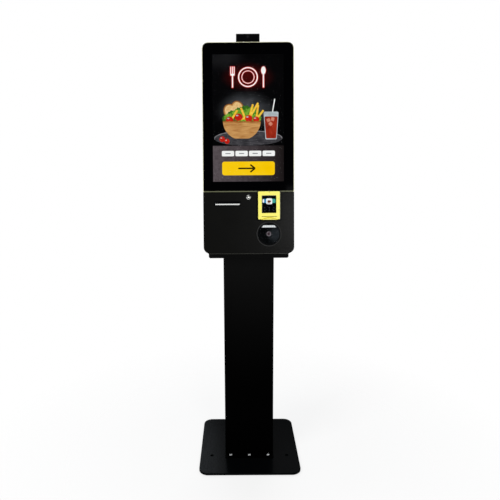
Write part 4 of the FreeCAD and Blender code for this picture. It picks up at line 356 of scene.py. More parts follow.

# %% [markdown]
# ## Painted frame
# The frame between the glass and the housing is steel, painted a dull olive yellow. That shows as the bar
# above the door and as a band along the head's sides. Only the narrow front edge round the glass is pale,
# a painted highlight that draws a bright thin line round the head. Behind the door's foot the frame is
# painted dark as painted shade. The material tells them apart by their place in the head's own axes.

# %% Painted frame
add, place = new_finish("yellow_frame_paint", "olive_painted_steel")
part = in_head(add, place)[1]
aside = add("Math", (part["X"],), "ABSOLUTE")
side_edge = add("MapRange", (aside, 168.6, 169.4))
top_edge = add("MapRange", (part["Z"], 277.0, 277.8))
edge = add("Math", (side_edge, top_edge), "MAXIMUM")
front = add("MapRange", (part["Y"], 2.4, 1.8))
# Painted highlight: the pale front edge round the glass.
pale_front_highlight = add("Math", (edge, front), "MULTIPLY")
# Painted shade: the frame goes dark behind the door's foot.
foot = add("MapRange", (part["Z"], -380.0, -440.0))
tone = two_tones(add, place, 40, 2.0, "#585a41", "#66684e")[0]
for share, colour in ((edge, "#85855c"), (pale_front_highlight, "#dedcb8"), (foot, "#1c1c14")):
    tone = add("Mix", {0: share, MIX_A: tone, MIX_B: colour})
peel = add("TexNoise", {"Vector": place, "Scale": marks_of(1.2)})
add_surface(add, tone, 0.42, {SHINE: 0.2}, (peel, 0.3, 0.0001))

# %% [markdown]
# ## Cover glass
# One sheet of toughened glass covers the screen. Its border is printed black from behind, so it is as
# deep a black as anything on the kiosk, and clear only over the picture. The material asks whether a point
# lies within the picture, and has a clear shader there and the printed one elsewhere. The clear one lets
# nearly all light through and adds a very small share of gloss.

# %% Cover glass
def clear_pane(add, tint, glint, rough, share):
    """See-through shader with a small share of gloss."""
    clear = add("BsdfTransparent", {"Color": tint})
    sheen = add("BsdfGlossy", {"Color": glint, "Roughness": rough})
    return add("MixShader", (share, clear, sheen))


PRINT_OVERLAP = 0.4  # millimetres of print over the picture's rim
add, place = new_finish("cover_glass", "printed_cover_glass")
part = in_head(add, place)[1]
aside = add("Math", (part["X"],), "ABSOLUTE")
up = away_from(add, part["Z"], -PICTURE_DOWN)
within_x = add("Math", (aside, PICTURE_WIDE / 2 - PRINT_OVERLAP), "LESS_THAN")
within_z = add("Math", (up, PICTURE_TALL / 2 - PRINT_OVERLAP), "LESS_THAN")
window = add("Math", (within_x, within_z), "MULTIPLY")
smear = add("TexNoise", {"Vector": place, "Scale": marks_of(45), "Detail": 4.0})
gloss = add("MapRange", (smear, 0.0, 1.0, 0.03, 0.09))
printed = add("BsdfPrincipled", {"Base Color": "#010102", "Roughness": gloss, SHINE: 0.004})
pane = clear_pane(add, "#fbfcfc", "#ffffff", 0.03, 0.0004)
whole = add("MixShader", (window, printed, pane))
add("OutputMaterial", (whole,))

# %% [markdown]
# ## Small clear panes and lenses
# The terminal's pane, the scanner's window and the two lenses are small pieces of clear plastic or coated
# glass. The panes are mostly see-through with a faint gloss. The lenses are dark with a purple coating that
# shows where they curve away, which Layer Weight gives.

# %% Small clear panes and lenses
for slot, name, share, rough in (("small_glass", "clear_polycarbonate", 0.001, 0.05),
                                 ("window_glass", "clear_acrylic", 0.0006, 0.04)):
    add, place = new_finish(slot, name)
    smear = add("TexNoise", {"Vector": place, "Scale": marks_of(20), "Detail": 3.0})
    gloss = add("MapRange", (smear, 0.0, 1.0, rough, 2 * rough))
    pane = clear_pane(add, "#f6f8f9", "#e8eef4", gloss, share)
    add("OutputMaterial", (pane,))

add, place = new_finish("lens_glass", "coated_lens_glass")
edge = add("LayerWeight", {"Blend": 0.35}).outputs["Facing"]
tone = add("Mix", {0: edge, MIX_A: "#08070a", MIX_B: "#241c28"})
add_surface(add, tone, 0.08, {SHINE: 0.1, "Coat Weight": 0.02, "Coat Roughness": 0.03})

# %% [markdown]
# ## Moulded plastics
# Most small parts are moulded ABS. The mould is spark-eroded, so the plastic carries a fine leathery grain
# about half a millimetre across, drawn at 0.8 mm here to show in a render. Each plastic is a row in a small
# table: its dark and light tone, its roughness, and the strengths of grain and gloss. The parts that face
# the user are dead matt, those inside and behind are satin.

# %% Moulded plastics
plastics = {
    "black_plastic": ("moulded_black_abs", "#020203", "#050506", 0.4, 0.2, 0.015),
    "satin_plastic": ("satin_black_abs", "#0b0b0c", "#131314", 0.38, 0.3, 0.25),
    "gear_plastic": ("moulded_white_acetal", "#dcdbd2", "#e6e5dd", 0.35, 0.1, 0.4),
}
for slot, (name, dark, light, rough, grainy, shine) in plastics.items():
    mottled(slot, name, dark, light, 25, 2.0, (rough - 0.05, rough + 0.05), {SHINE: shine},
            (grainy, 0.0001), grain=0.8)

# %% [markdown]
# ## Rubber and foam
# The foot pads and the platen roller are solid rubber: matt, almost black, with a dusty bloom. The
# gasket under the glass is a closed-cell foam strip, paler, with pores about 0.6 mm wide.

# %% Rubber and foam
mottled("rubber", "moulded_rubber", "#121212", "#242424", 9, 5.0, 0.78, {SHINE: 0.2}, (0.4, 0.0002))

add, place = new_finish("foam", "closed_cell_foam")
pores = add("TexVoronoi", {"Vector": place, "Scale": marks_of(0.6)})
tone = add("Mix", {0: pores, MIX_A: "#161616", MIX_B: "#2c2c2c"})
add_surface(add, tone, 0.9, {SHINE: 0.1}, (pores, 0.5, 0.0002))

# %% [markdown]
# ## Bare and plated metals
# Inside the head are zinc-plated sheet, turned steel pins and brass, and the neck bolts carry a bright zinc
# plating. All are metals, so their colour is the colour of their reflection, and they differ in roughness
# and in the marks of their making. Turned and ground parts have lines round them, drawn here as a noise
# stretched along x, the way of every shaft in this machine.

# %% Bare and plated metals
metals = {
    "zinc": ("zinc_plated_steel", "#a9adb0", "#c3c6c8", 0.3, 3.0, (1.0, 1.0, 1.0)),
    "sheet_zinc": ("galvanised_sheet", "#8b8f92", "#a8abad", 0.42, 9.0, (1.0, 1.0, 1.0)),
    "ground_steel": ("ground_steel", "#9a9a9a", "#b9b9b8", 0.24, 1.0, (6.0, 0.4, 0.4)),
    "brass": ("cut_brass", "#b08d3e", "#c9a452", 0.3, 1.5, (5.0, 0.5, 0.5)),
}
for slot, (name, dark, light, rough, marks, stretch) in metals.items():
    mottled(slot, name, dark, light, marks, 4.0, (0.7 * rough, 1.3 * rough), METAL, (0.15, 0.0001),
            stretch=stretch)

# %% [markdown]
# ## Dark metals
# The cover screws are steel with a thin black oxide: dark but still metal, with a soft gleam. The LCD panel
# has a pressed steel case with a dull grey coat. What stands beside the paper's path is kept dark so that
# nothing glints in the slot: the printer's cutter frame is blackened sheet, its chassis phosphated to a
# dark grey, and the print head's cooling block is black anodised.

# %% Dark metals
mottled("black_screw", "black_oxide_steel", "#101011", "#222224", 2, 3.0, 0.38, METAL)
mottled("lcd_case", "pressed_steel_case", "#2a2b2d", "#38393b", 4, 3.0, 0.5, {"Metallic": 0.6})
mottled("black_sheet", "blackened_sheet", "#0b0b0c", "#171718", 5, 2.0, 0.5, METAL)
mottled("grey_sheet", "phosphated_sheet", "#26282b", "#3a3c40", 6, 2.0, 0.45, METAL)
mottled("black_anodised", "black_anodised_aluminium", "#08080a", "#101014", 2, 2.0, 0.45, METAL)

# %% [markdown]
# ## Circuit board
# The main board is glass-fibre laminate under a green lacquer. The copper beneath shows as slightly paler
# tracks, which a brick pattern of narrow cells suggests.

# %% Circuit board
add, place = new_finish("circuit_board", "lacquered_circuit_board")
upright = add("Mapping", {"Vector": place, "Rotation": (pi / 2, 0.0, 0.0)})
tracks = add("TexBrick", {
    "Vector": upright, "Scale": marks_of(6), "Color1": "#0f4a2b", "Color2": "#145733",
    "Mortar": "#2f7a4b", "Mortar Size": 0.06, "Brick Width": 1.6, "Row Height": 0.5})
add_surface(add, tracks, 0.35, {}, (tracks.outputs["Fac"], 0.3, 0.0001))

# %% [markdown]
# ## Scanner's light strip
# Behind the scanner's window a strip of milky plastic is lit from inside by a row of small lamps 7 mm
# apart. A black mask leaves a bar of it free, narrower at its top. The bar glows near white, a little
# brighter over each lamp.

# %% Scanner's light strip
BAR_UP, LAMP_STEP = 28.8, 7.0  # from the scanner's middle to the bar's, and from lamp to lamp
SLANT, LIT, UNLIT = 0.85, 0.93, 0.004  # slant of the bar's ends, light of the bar and of its mask
add, place = new_finish("light_plastic", "lit_milky_acrylic")
part = in_head(add, place)[1]
centred = add("Math", (part["X"], SCANNER_X), "SUBTRACT")
beads = add("Math", (centred, 2 * pi / LAMP_STEP), "MULTIPLY")
beads = add("Math", (beads,), "COSINE")
reach = add("Math", (centred,), "ABSOLUTE")
above = add("Math", (part["Z"], SCANNER_Z + BAR_UP), "SUBTRACT")
slope = add("Math", (above, SLANT, reach), "MULTIPLY_ADD")
along = add("MapRange", (slope, 24.8, 23.2))
off = add("Math", (above,), "ABSOLUTE")
across = add("MapRange", (off, 4.4, 3.6))
bar = add("Math", (along, across), "MULTIPLY")
strength = add("Math", (bar, LIT, UNLIT), "MULTIPLY_ADD")
glow = add("MapRange", (beads, -1.0))
tone = add("Mix", {0: glow, MIX_A: "#d9dbdc", MIX_B: "#ffffff"})
lamp = add("Emission", {"Color": tone, "Strength": strength})
add("OutputMaterial", (lamp,))

# %% [markdown]
# ## Terminal's yellow frame
# The card terminal sits in a frame of moulded yellow plastic, a pale lemon on its face. Where it turns
# back, and on the flanks of the chin under the card slot, it is painted a deep golden yellow as painted
# shade. Both colours come from the depth in the head's own axes: the front face lies 14 mm in front of the
# head's face, the chin's tip at 21 mm. Round the frame's rim and in its window, the flanks are painted
# black as painted shade. That is found by how far a point lies outside two flat boxes.

# %% Yellow frame of the terminal
def beyond_box(add, local, middle, half):
    """How far a point of the head's face lies outside a flat box of half sizes, in millimetres."""
    away = add("VectorMath", (local, middle), "SUBTRACT")
    away = add("VectorMath", (away,), "ABSOLUTE")
    away = add("VectorMath", (away, half), "SUBTRACT")
    away = add("VectorMath", (away,), "MAXIMUM")
    return add("VectorMath", (away,), "LENGTH")


FRAME_FRONT = -14.1
ANY_DEPTH = 99.0  # a box so deep that only x and z count
add, place = new_finish("yellow_plastic", "moulded_yellow_abs")
local, part = in_head(add, place)
# Painted shade: the turned-back edge and the chin's flanks get the deep golden yellow.
edge = add("MapRange", (part["Y"], -13.95, -12.4))
chin_flank_shade = add("MapRange", (part["Y"], -20.9, -20.6))
raised = add("Math", (part["Y"], FRAME_FRONT), "LESS_THAN")
chin_flank_shade = add("Math", (chin_flank_shade, raised), "MULTIPLY")
turned = add("Math", (edge, chin_flank_shade), "MAXIMUM")
yellow = add("Mix", {0: turned, MIX_A: "#f7ee68", MIX_B: "#d6c21a"})

# Painted shade: black on the flanks round the rim and on the window's walls.
rim = beyond_box(add, local, (TERMINAL_X, 0.0, TERMINAL_Z), (37.6, ANY_DEPTH, 49.3))
pane = beyond_box(add, local, (TERMINAL_X + 0.1, 0.0, TERMINAL_Z + 4.3), (27.3, ANY_DEPTH, 33.1))
outer = add("Math", (rim, 3.0), "GREATER_THAN")
inner = add("Math", (pane, 0.01), "LESS_THAN")
rim_and_window_shade = add("Math", (outer, inner), "MAXIMUM")
behind = add("Math", (part["Y"], FRAME_FRONT), "GREATER_THAN")
rim_and_window_shade = add("Math", (rim_and_window_shade, behind), "MULTIPLY")
tone = add("Mix", {0: rim_and_window_shade, MIX_A: yellow, MIX_B: "#050503"})
grain = add("TexNoise", {"Vector": place, "Scale": marks_of(0.8)})
add_surface(add, tone, 0.35, {SHINE: 0.3}, (grain, 0.1, 0.0001))

# %% [markdown]
# ## Lip of the receipt slot
# The lip that guides the receipt is pale ABS. Its long edges are turned back and get no light, so the
# finish goes from a near white to a dark grey within half a millimetre above and below.

# %% Lip of the receipt slot
add, place = new_finish("pale_plastic", "moulded_pale_abs")
part = in_head(add, place)[1]
edge = add("MapRange", (away_from(add, part["Z"], LIP_Z), 2.0, 2.5))
pale = two_tones(add, place, 25, 2.0, "#d9dbd9", "#e2e3e1")[0]
tone = add("Mix", {0: edge, MIX_A: pale, MIX_B: "#2c2d2c"})
add_surface(add, tone, 0.4, {SHINE: 0.35})

# %% [markdown]
# ## Scanner's ring, lens and dish
# The ring round the scanner is satin black, with a painted highlight as a slightly paler bead at its outer
# rim.
# The lens in the middle is a small mauve barrel of anodised metal round a wine-dark coated glass. Both
# patterns are drawn by the distance from the scanner's middle, measured in the head's face. Behind the
# window is a dished cup of black plastic. Its right half has painted light and looks a cool grey; the left
# half is a full black.

# %% Scanner's ring, lens and dish
def away_in_face(add, place, x, z):
    """Distance from a point of the head's face in millimetres, whatever the depth."""
    flat = add("VectorMath", (in_head(add, place)[0], (1.0, 0.0, 1.0)), "MULTIPLY")
    return add("VectorMath", (flat, (x, 0.0, z)), "DISTANCE")


add, place = new_finish("satin_black_ring")
reach = away_in_face(add, place, SCANNER_X, SCANNER_Z)
# Painted highlight: a paler bead along the ring's outer rim.
rim_highlight = add("MapRange", (reach, 44.3, 45.3))
rim_highlight_tone = two_tones(add, place, 30, 3.0, "#2a2b2b", "#484948")[0]
tone = add("Mix", {0: rim_highlight, MIX_A: "#020202", MIX_B: rim_highlight_tone})
add_surface(add, tone, 0.4, {SHINE: 0.05})

add, place = new_finish("mauve_lens", "mauve_anodised_lens")
reach = away_in_face(add, place, SCANNER_X, SCANNER_Z)
barrel = add("MapRange", (reach, 4.8, 6.2))
tone = add("Mix", {0: barrel, MIX_A: "#321a22", MIX_B: "#6a5c61"})
add_surface(add, tone, 0.25, {SHINE: 0.3})

add, place = new_finish("black_dish", "moulded_black_dish")
part = in_head(add, place)[1]
right = add("MapRange", (part["X"], SCANNER_X - 4.0, SCANNER_X + 16.0))
off = away_from(add, part["Z"], SCANNER_Z)
level = add("MapRange", (off, 36.0, 12.0))
# Painted light: a cool grey pool on the dish's right half.
painted_light_pool = add("Math", (right, level), "MULTIPLY")
tone = add("Mix", {0: painted_light_pool, MIX_A: "#040506", MIX_B: "#26292c"})
add_surface(add, tone, 0.4, {SHINE: 0.02})

# %% [markdown]
# ## Lock
# The lock's barrel and plug are chrome. A small curved lock mirrors a dark room, which this pale studio
# can't give, so its reflections are painted into the colour: patches from dark to bright, about 6 mm
# across, and a painted highlight on the plug's middle, the brightest spot.

# %% Lock
add, place = new_finish("chrome_painted_reflections")
reach = away_in_face(add, place, LOCK_X, LOCK_Z)
# Painted highlight on the plug's middle, and painted reflections in patches from dark to bright.
middle = add("MapRange", (reach, 3.4, 1.6))
reflection_noise = add("TexNoise", {"Vector": place, "Scale": marks_of(6), "Detail": 1.0})
painted_reflection_patches = add("MapRange", (reflection_noise, 0.4, 0.62))
tone = add("Mix", {0: painted_reflection_patches, MIX_A: "#2c2c2b", MIX_B: "#a2a3a0"})
tone = add("Mix", {0: middle, MIX_A: tone, MIX_B: "#f0f0ea"})
add_surface(add, tone, 0.2, METAL)

# %% [markdown]
# ## Foot bolts
# The bolts at the column's foot and their washers are zinc-plated. The flat tops of the heads are painted
# dark as painted shade, while the flanks and washers are bright. The height tells them apart.

# %% Foot bolts
bolt_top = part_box("column_bolts")[1].z
add, place = new_finish("zinc_painted_tops", "zinc_plate_painted_tops")
plate = two_tones(add, place, 1.5, 2.0, "#a9abac", "#d3d5d6")[0]
height = add("SeparateXYZ", (place,)).outputs["Z"]
# Painted shade: the flat tops of the heads are dark, the flanks and washers stay bright.
painted_dark_tops = add("MapRange", (height, bolt_top - 0.9 * MM, bolt_top - 0.3 * MM))
tone = add("Mix", {0: painted_dark_tops, MIX_A: plate, MIX_B: "#3a3b3b"})
add_surface(add, tone, 0.34, METAL)

# %% [markdown]
# ## Every CAD piece gets its finish
# The record names a material slot for each piece, and a few pieces have a finish of their own. The meshes
# stay as they are: only the material in their first slot is changed.

# %% Finishes on the CAD pieces
slots = {part["node"]: part["material_slot"] for part in frame["record"]["subparts"]}
for slot, *nodes in (
        ("satin_black_ring", "scanner_ring"), ("mauve_lens", "scanner_lens"), ("black_dish", "scanner_cup"),
        ("chrome_painted_reflections", "lock_barrel", "lock_plug"), ("black_sheet", "cutter_frame"),
        ("grey_sheet", "printer_chassis"), ("black_anodised", "print_head"),
        ("satin_plastic", "printer_bucket", "speakers", "power_inlet", "power_switch"),
        ("satin_housing", "rear_housing", "rear_cover", "column_rear_cover", "camera_bracket")):
    slots.update(dict.fromkeys(nodes, slot))
for name, piece in frame["nodes"].items():
    piece.data.materials.clear()
    piece.data.materials.append(finishes[slots[name]])
print("finishes:", len(finishes), "on", len(slots), "pieces")

# %% [markdown]
# ## Helpers for pieces
# A piece is shaped in a bmesh, in millimetres and in its own handy axes, and one matrix puts it in place.
# Closed pieces get their faces turned outwards. Edges sharper than 35 degrees stay crisp and the rest is
# shaded smooth. Then the piece is hung on the body that it rides on, and the CAD pieces that it stands for
# are hidden. Small shapes that occur many times are made at the origin and added to the piece at their
# places.

# %% Helpers for pieces
IN_ROOM = Matrix.Scale(MM, 4)


def finish_piece(shape, name, place, slot, body, replaced=(), closed=True):
    """Turns a bmesh into a placed, shaded object with its finish, on its body."""
    if closed:
        bmesh.ops.remove_doubles(shape, verts=shape.verts, dist=0.001)
        bmesh.ops.recalc_face_normals(shape, faces=shape.faces)
    shape.transform(place)
    data = bpy.data.meshes.new(name)
    shape.to_mesh(data)
    shape.free()
    data.materials.append(finishes[slot])
    piece = bpy.data.objects.new(name, data)
    collection.objects.link(piece)
    if closed:
        data.shade_smooth()
        data.set_sharp_from_angle(angle=radians(35))
    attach(piece, body)
    if replaced:
        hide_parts(*replaced)
    print(name, len(data.polygons), "faces")
    return piece


def add_copy(shape, one, place):
    """Puts a small finished shape into a larger one, at its place there."""
    one.transform(place)
    data = bpy.data.meshes.new("copy")
    one.to_mesh(data)
    one.free()
    shape.from_mesh(data)
    bpy.data.meshes.remove(data)


def box_in_mm(node):
    """Lowest and highest corner of a CAD piece, in millimetres."""
    return [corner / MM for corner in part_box(node)]

# %% [markdown]
# Screws, bolts and washers are turned parts. A line of points spun round an axis gives each of them, and
# extruding the edges of a hexagon gives a socket's walls or a bolt head's flanks.

# %% Helpers for turned parts
def add_turned(shape, profile, steps=32):
    """Spins a line of (radius, height) points round the z axis."""
    points = [shape.verts.new((radius, 0.0, height)) for radius, height in profile]
    edges = [shape.edges.new(pair) for pair in zip(points, points[1:])]
    bmesh.ops.spin(shape, geom=points + edges, cent=(0, 0, 0), axis=(0, 0, 1), angle=2 * pi, steps=steps,
                   use_merge=True)


def add_circle(shape, steps, radius, height, filled=False):
    """Circle or polygon of edges at a height, and its points."""
    points = bmesh.ops.create_circle(shape, cap_ends=filled, segments=steps, radius=radius)["verts"]
    bmesh.ops.translate(shape, verts=points, vec=(0, 0, height))
    return points


def rim_at(shape, height):
    """Open edges of a shape at one height."""
    return [edge for edge in shape.edges
            if len(edge.link_faces) < 2 and all(abs(v.co.z - height) < 1e-4 for v in edge.verts)]


def draw_out(shape, edges, height):
    """Extrudes edges along z into walls, and gives the walls' far points."""
    walls = bmesh.ops.extrude_edge_only(shape, edges=edges)["geom"]
    points = [item for item in walls if isinstance(item, bmesh.types.BMVert)]
    bmesh.ops.translate(shape, verts=points, vec=(0, 0, height))
    return points

# %% [markdown]
# ## Screws with a hexagon socket
# A button screw is a turned piece with a low dome, and the key fits a six-sided socket in it. The dome and
# the shank are one spun profile. The socket starts as a circle of six points: it is bridged to the dome's
# round rim, pushed down, and closed with a floor. Countersunk screws are made alike from another profile.
# Each group of screws is one piece that stands for the plain screws of the CAD model.

# %% Screws with a hexagon socket
KEY = 2.5  # width across the socket's flats
SOCKET_DEEP, SUNK_SOCKET_DEEP = 1.4, 1.6
HEAD_HALF, HEAD_TALL, SUNK_HALF = 3.8, 2.2, 4.2
BUTTON = [(1.9, HEAD_TALL), (2.6, 2.02), (3.25, 1.55), (3.65, 0.9), (HEAD_HALF, 0.25), (HEAD_HALF, 0.0),
          (2.0, 0.0), (2.0, -3.5), (0.0, -3.5)]
SUNK = [(2.3, 0.0), (SUNK_HALF, 0.0), (SUNK_HALF, -0.25), (2.0, -2.4), (2.0, -10.0), (0.0, -10.0)]
TO_BACK = Matrix.Rotation(-pi / 2, 4, "X")


def socket_screw(profile, deep):
    """One socket screw, its axis along z."""
    one = bmesh.new()
    top = profile[0][1]
    add_turned(one, profile, 24)
    dome = rim_at(one, top)
    add_circle(one, 6, KEY / sqrt(3), top)
    sides = [edge for edge in rim_at(one, top) if edge not in dome]
    bmesh.ops.bridge_loops(one, edges=dome + sides)
    bmesh.ops.contextual_create(one, geom=draw_out(one, sides, -deep))
    bmesh.ops.recalc_face_normals(one, faces=one.faces)
    return one


def screw_group(name, replaced, profile, deep, places, room=IN_ROOM, slot="black_screw"):
    """Socket screws at all the places, as one piece."""
    shape = bmesh.new()
    for place in places:
        add_copy(shape, socket_screw(profile, deep), place)
    finish_piece(shape, name, room, slot, "kiosk", [replaced])

# %% [markdown]
# There are three groups: in the column's rear cover, in the head's rear cover and in the foot pads, whose
# screws are coated with the base plate.

# %% The three groups of screws
low, high = box_in_mm("column_cover_screws")
rise = (high.z - low.z - 2 * HEAD_HALF) / 2
screw_group("column_cover_button_screws", "column_cover_screws", BUTTON, SOCKET_DEEP,
            [Matrix.Translation((x, high.y - HEAD_TALL, low.z + HEAD_HALF + row * rise)) @ TO_BACK
             for x in (low.x + HEAD_HALF, high.x - HEAD_HALF) for row in range(3)])

COVER_BACK, SCREW_ASIDE, SCREW_UP, COVER_UP = 76.5, 124.5, 171.5, 70.0
screw_group("rear_cover_button_screws", "rear_cover_screws", BUTTON, SOCKET_DEEP,
            [Matrix.Translation((x, COVER_BACK, z)) @ TO_BACK
             for x in (-SCREW_ASIDE, SCREW_ASIDE) for z in (COVER_UP - SCREW_UP, COVER_UP + SCREW_UP)],
            HEAD)

low, high = box_in_mm("foot_pad_screws")
screw_group("foot_pad_sunk_screws", "foot_pad_screws", SUNK, SUNK_SOCKET_DEEP,
            [Matrix.Translation((x, y, high.z)) for x in (low.x + SUNK_HALF, high.x - SUNK_HALF)
             for y in (low.y + SUNK_HALF, high.y - SUNK_HALF)], slot="gloss_black_steel")

# %% [markdown]
# ## Hexagon bolts and their washers
# The foot of the column is held down by zinc-plated hexagon bolts on washers. A real bolt's head is turned
# at its top, which leaves a round flat with the six corners falling away from it. Bridging a hexagon to a
# circle a little above it gives just that. Each bolt is turned by another angle, as a fitter leaves it.

# %% Hexagon bolts and their washers
FLATS, BOLT_HEAD, SHANK, THICK, WASHER_HALF = 10.0, 4.0, 6.0, 1.4, 7.0
ROUND_FLAT, CORNERS_DOWN = 0.46 * FLATS, 0.06 * FLATS


def hexagon_bolt():
    """One hexagon bolt, its axis along z, whose head stands on a washer."""
    one = bmesh.new()
    add_circle(one, 6, FLATS / sqrt(3), THICK, filled=True)
    shoulder = THICK + BOLT_HEAD - CORNERS_DOWN
    draw_out(one, one.edges[:], shoulder - THICK)
    add_circle(one, 24, ROUND_FLAT, THICK + BOLT_HEAD, filled=True)
    bmesh.ops.bridge_loops(one, edges=rim_at(one, shoulder) + rim_at(one, THICK + BOLT_HEAD))
    add_turned(one, [(0.0, -8.0), (SHANK / 2 - 0.4, -8.0), (SHANK / 2, -7.6), (SHANK / 2, 0.0)], 16)
    return one


low, high = box_in_mm("column_bolts")
bolts, washers = bmesh.new(), bmesh.new()
for x in (low.x + WASHER_HALF, 0.0, high.x - WASHER_HALF):
    for y in (low.y + WASHER_HALF, high.y - WASHER_HALF):
        place = Matrix.Translation((x, y, high.z - BOLT_HEAD - THICK))
        turn = Matrix.Rotation(radians(7 * x + 3 * y), 4, "Z")
        add_copy(bolts, hexagon_bolt(), place @ turn)
        washer = bmesh.new()
        add_turned(washer, [(3.0, 0.0), (6.7, 0.0), (WASHER_HALF, 0.3), (WASHER_HALF, 1.1), (6.7, THICK),
                            (3.0, THICK), (3.0, 0.0)])
        add_copy(washers, washer, place)
for shape, name, replaced in ((bolts, "column_hexagon_bolts", ["column_bolts"]),
                              (washers, "column_bolt_washers", ())):
    finish_piece(shape, name, IN_ROOM, "zinc_painted_tops", "kiosk", replaced)

# %% [markdown]
# ## What the two screens show
# The touch screen shows a welcome page: an emblem with cutlery, a meal on a slate board, small tiles and
# one wide button. The terminal has a small display of its own. Both pictures are drawn like paper cut-outs:
# the backdrop is one sheet, and every shape lies on it as a thin layer. A picture glows by itself, so its
# materials are plain Emission with the colour as written. Each is varied between two tones by a soft noise,
# whose marks are given in millimetres and may be drawn out.

# %% Lit colours
lit_colours = (
    ("white", "#f2f2f0", "#ffffff", 30), ("button", "#fdc900", "#ffd21c", 60),
    ("slate", "#26262a", "#4d4b4f", 14, 0.5, 1.0, 3.0), ("slate_rim", "#6d6a6c", "#98959a", 6),
    ("bowl", "#a8703a", "#d9a566", 14, 0.4, 1.0, 3.0), ("bowl_inside", "#5f3a1c", "#7c5028", 16),
    ("leaf", "#3f7a1e", "#86b83a", 9), ("dark_leaf", "#264f17", "#447d26", 9),
    ("tomato", "#a81410", "#d9301c", 12), ("pepper", "#e8a91a", "#ffd452", 8),
    ("bread", "#d9a765", "#f0cf95", 8), ("crust", "#8a5424", "#b87a3c", 12),
    ("ice", "#c46a50", "#d88f78", 10), ("drink", "#7d1b12", "#b3381f", 20, 1.0, 1.0, 0.5),
    ("pale_glass", "#9aa3a8", "#c4ccd0", 15), ("dark_mark", "#241d05", "#33290a", 20),
    ("grey", "#6d6f72", "#7c7e81", 30), ("red", "#c01712", "#e02a20", 20),
    ("black", "#010102", "#050507", 20), ("blue", "#2377a6", "#4aa3cf", 16),
    ("teal", "#2b8f8a", "#58b9a5", 16), ("coffee", "#5a2a14", "#7c3c1e", 6),
    ("dim", "#2a2c30", "#3c3f44", 10))
for name, dark, light, marks, *stretch in lit_colours:
    add, place = new_finish("lit_" + name)
    turned = add("Mapping", {"Vector": place, "Scale": stretch or (1.0, 1.0, 1.0)})
    mottle = add("TexNoise", {"Vector": turned, "Scale": marks_of(marks), "Detail": 4.0})
    crisp = add("MapRange", (mottle, 0.3, 0.7))
    tone = add("Mix", {0: crisp, MIX_A: dark, MIX_B: light})
    glow = add("Emission", {"Color": tone})
    add("OutputMaterial", (glow,))

# %% [markdown]
# The backdrop is dark with a smoky glow behind the meal, a red halo behind the emblem, a grey haze in the
# upper left corner and a brown-grey table top below. Distances from the middle of each glow drive it. They
# are in millimetres, as are the noises here: a scale of 0.02 gives marks of 50 mm.

# %% Backdrop of the screen
add, place = new_finish("lit_backdrop")
local, part = in_head(add, place)
smoke = add("TexNoise", {"Vector": local, "Scale": 0.02, "Detail": 6.0, "Distortion": 1.2})
page = "#050506"
for middle_x, middle_z, wide, tall, colour in ((-92.0, 228.0, 95.0, 70.0, "#1f1f21"),
                                               (-8.0, 26.0, 120.0, 84.0, "#62656a"),
                                               (0.0, 152.0, 110.0, 60.0, "#5a0d0a")):
    away = add("VectorMath", (local, (middle_x, 5.5, middle_z)), "SUBTRACT")
    away = add("VectorMath", (away, (1 / wide, 0.0, 1 / tall)), "MULTIPLY")
    away = add("VectorMath", (away,), "LENGTH")
    halo = add("MapRange", (away, 0.15, 1.0, 1.0, 0.0), interpolation_type="SMOOTHSTEP")
    halo = add("Math", (halo, smoke), "MULTIPLY")
    page = add("Mix", {0: halo, MIX_A: page, MIX_B: colour})
grain = add("TexNoise", {"Vector": local, "Scale": 0.09, "Detail": 8.0, "Roughness": 0.7})
shade = add("MapRange", (part["X"], -130.0, 130.0, 0.7, 0.02))
shade = add("Math", (shade, grain), "MULTIPLY")
table = add("Mix", {0: shade, MIX_A: "#191414", MIX_B: "#8c7f85"})
below = add("MapRange", (part["Z"], -103.0, -106.0))
page = add("Mix", {0: below, MIX_A: page, MIX_B: table})
glow = add("Emission", {"Color": page})
add("OutputMaterial", (glow,))

# %% [markdown]
# Small helpers draw the cut-outs in the picture's millimetres: a rectangle with round corners from a
# one-face grid whose corners are bevelled, an ellipse from a circle, and a leaf whose rim goes in and out.
# Another draws one cut-out for each row of numbers, and the last lays a drawing on the screen. Each layer
# is 0.22 mm in front of the one before.

# %% Cut-outs
SCREEN_DEPTH, SCREEN_LAYER = 5.45, 0.22
CRINKLE = 0.84  # how far in every second point of a leaf's rim lies


def stretched(x, y, wide, tall, turn=0.0):
    """Matrix that makes a unit shape so wide and tall, turns it and moves it."""
    return (Matrix.Translation((x, y, 0)) @ Matrix.Rotation(radians(turn), 4, "Z")
            @ Matrix.Diagonal((wide, tall, 1, 1)))


def add_tile(shape, x, y, wide, tall, corner, turn=0.0):
    """Rectangle with round corners."""
    made = bmesh.ops.create_grid(shape, x_segments=1, y_segments=1, size=0.5)["verts"]
    bmesh.ops.transform(shape, matrix=stretched(x, y, wide, tall, turn), verts=made)
    bmesh.ops.bevel(shape, geom=made, affect="VERTICES", offset=corner, segments=5, profile=0.5, material=-1)


def add_ellipse(shape, x, y, wide, tall, steps=40, turn=0.0):
    """Filled ellipse; its points are returned so that they can be pulled about."""
    made = bmesh.ops.create_circle(shape, cap_ends=True, segments=steps, radius=0.5)["verts"]
    bmesh.ops.transform(shape, matrix=stretched(x, y, wide, tall, turn), verts=made)
    return made


def add_leaf(shape, x, y, wide, tall):
    """Leaf with a crinkled rim."""
    made = add_ellipse(shape, x, y, wide, tall, 22)
    centre = Matrix.Translation((-x, -y, 0))
    bmesh.ops.scale(shape, vec=(CRINKLE, CRINKLE, 1.0), space=centre, verts=made[::2])


def draw(add_one, *rows):
    """Drawing with one cut-out for each row of numbers."""
    shape = bmesh.new()
    for row in rows:
        add_one(shape, *row)
    return shape


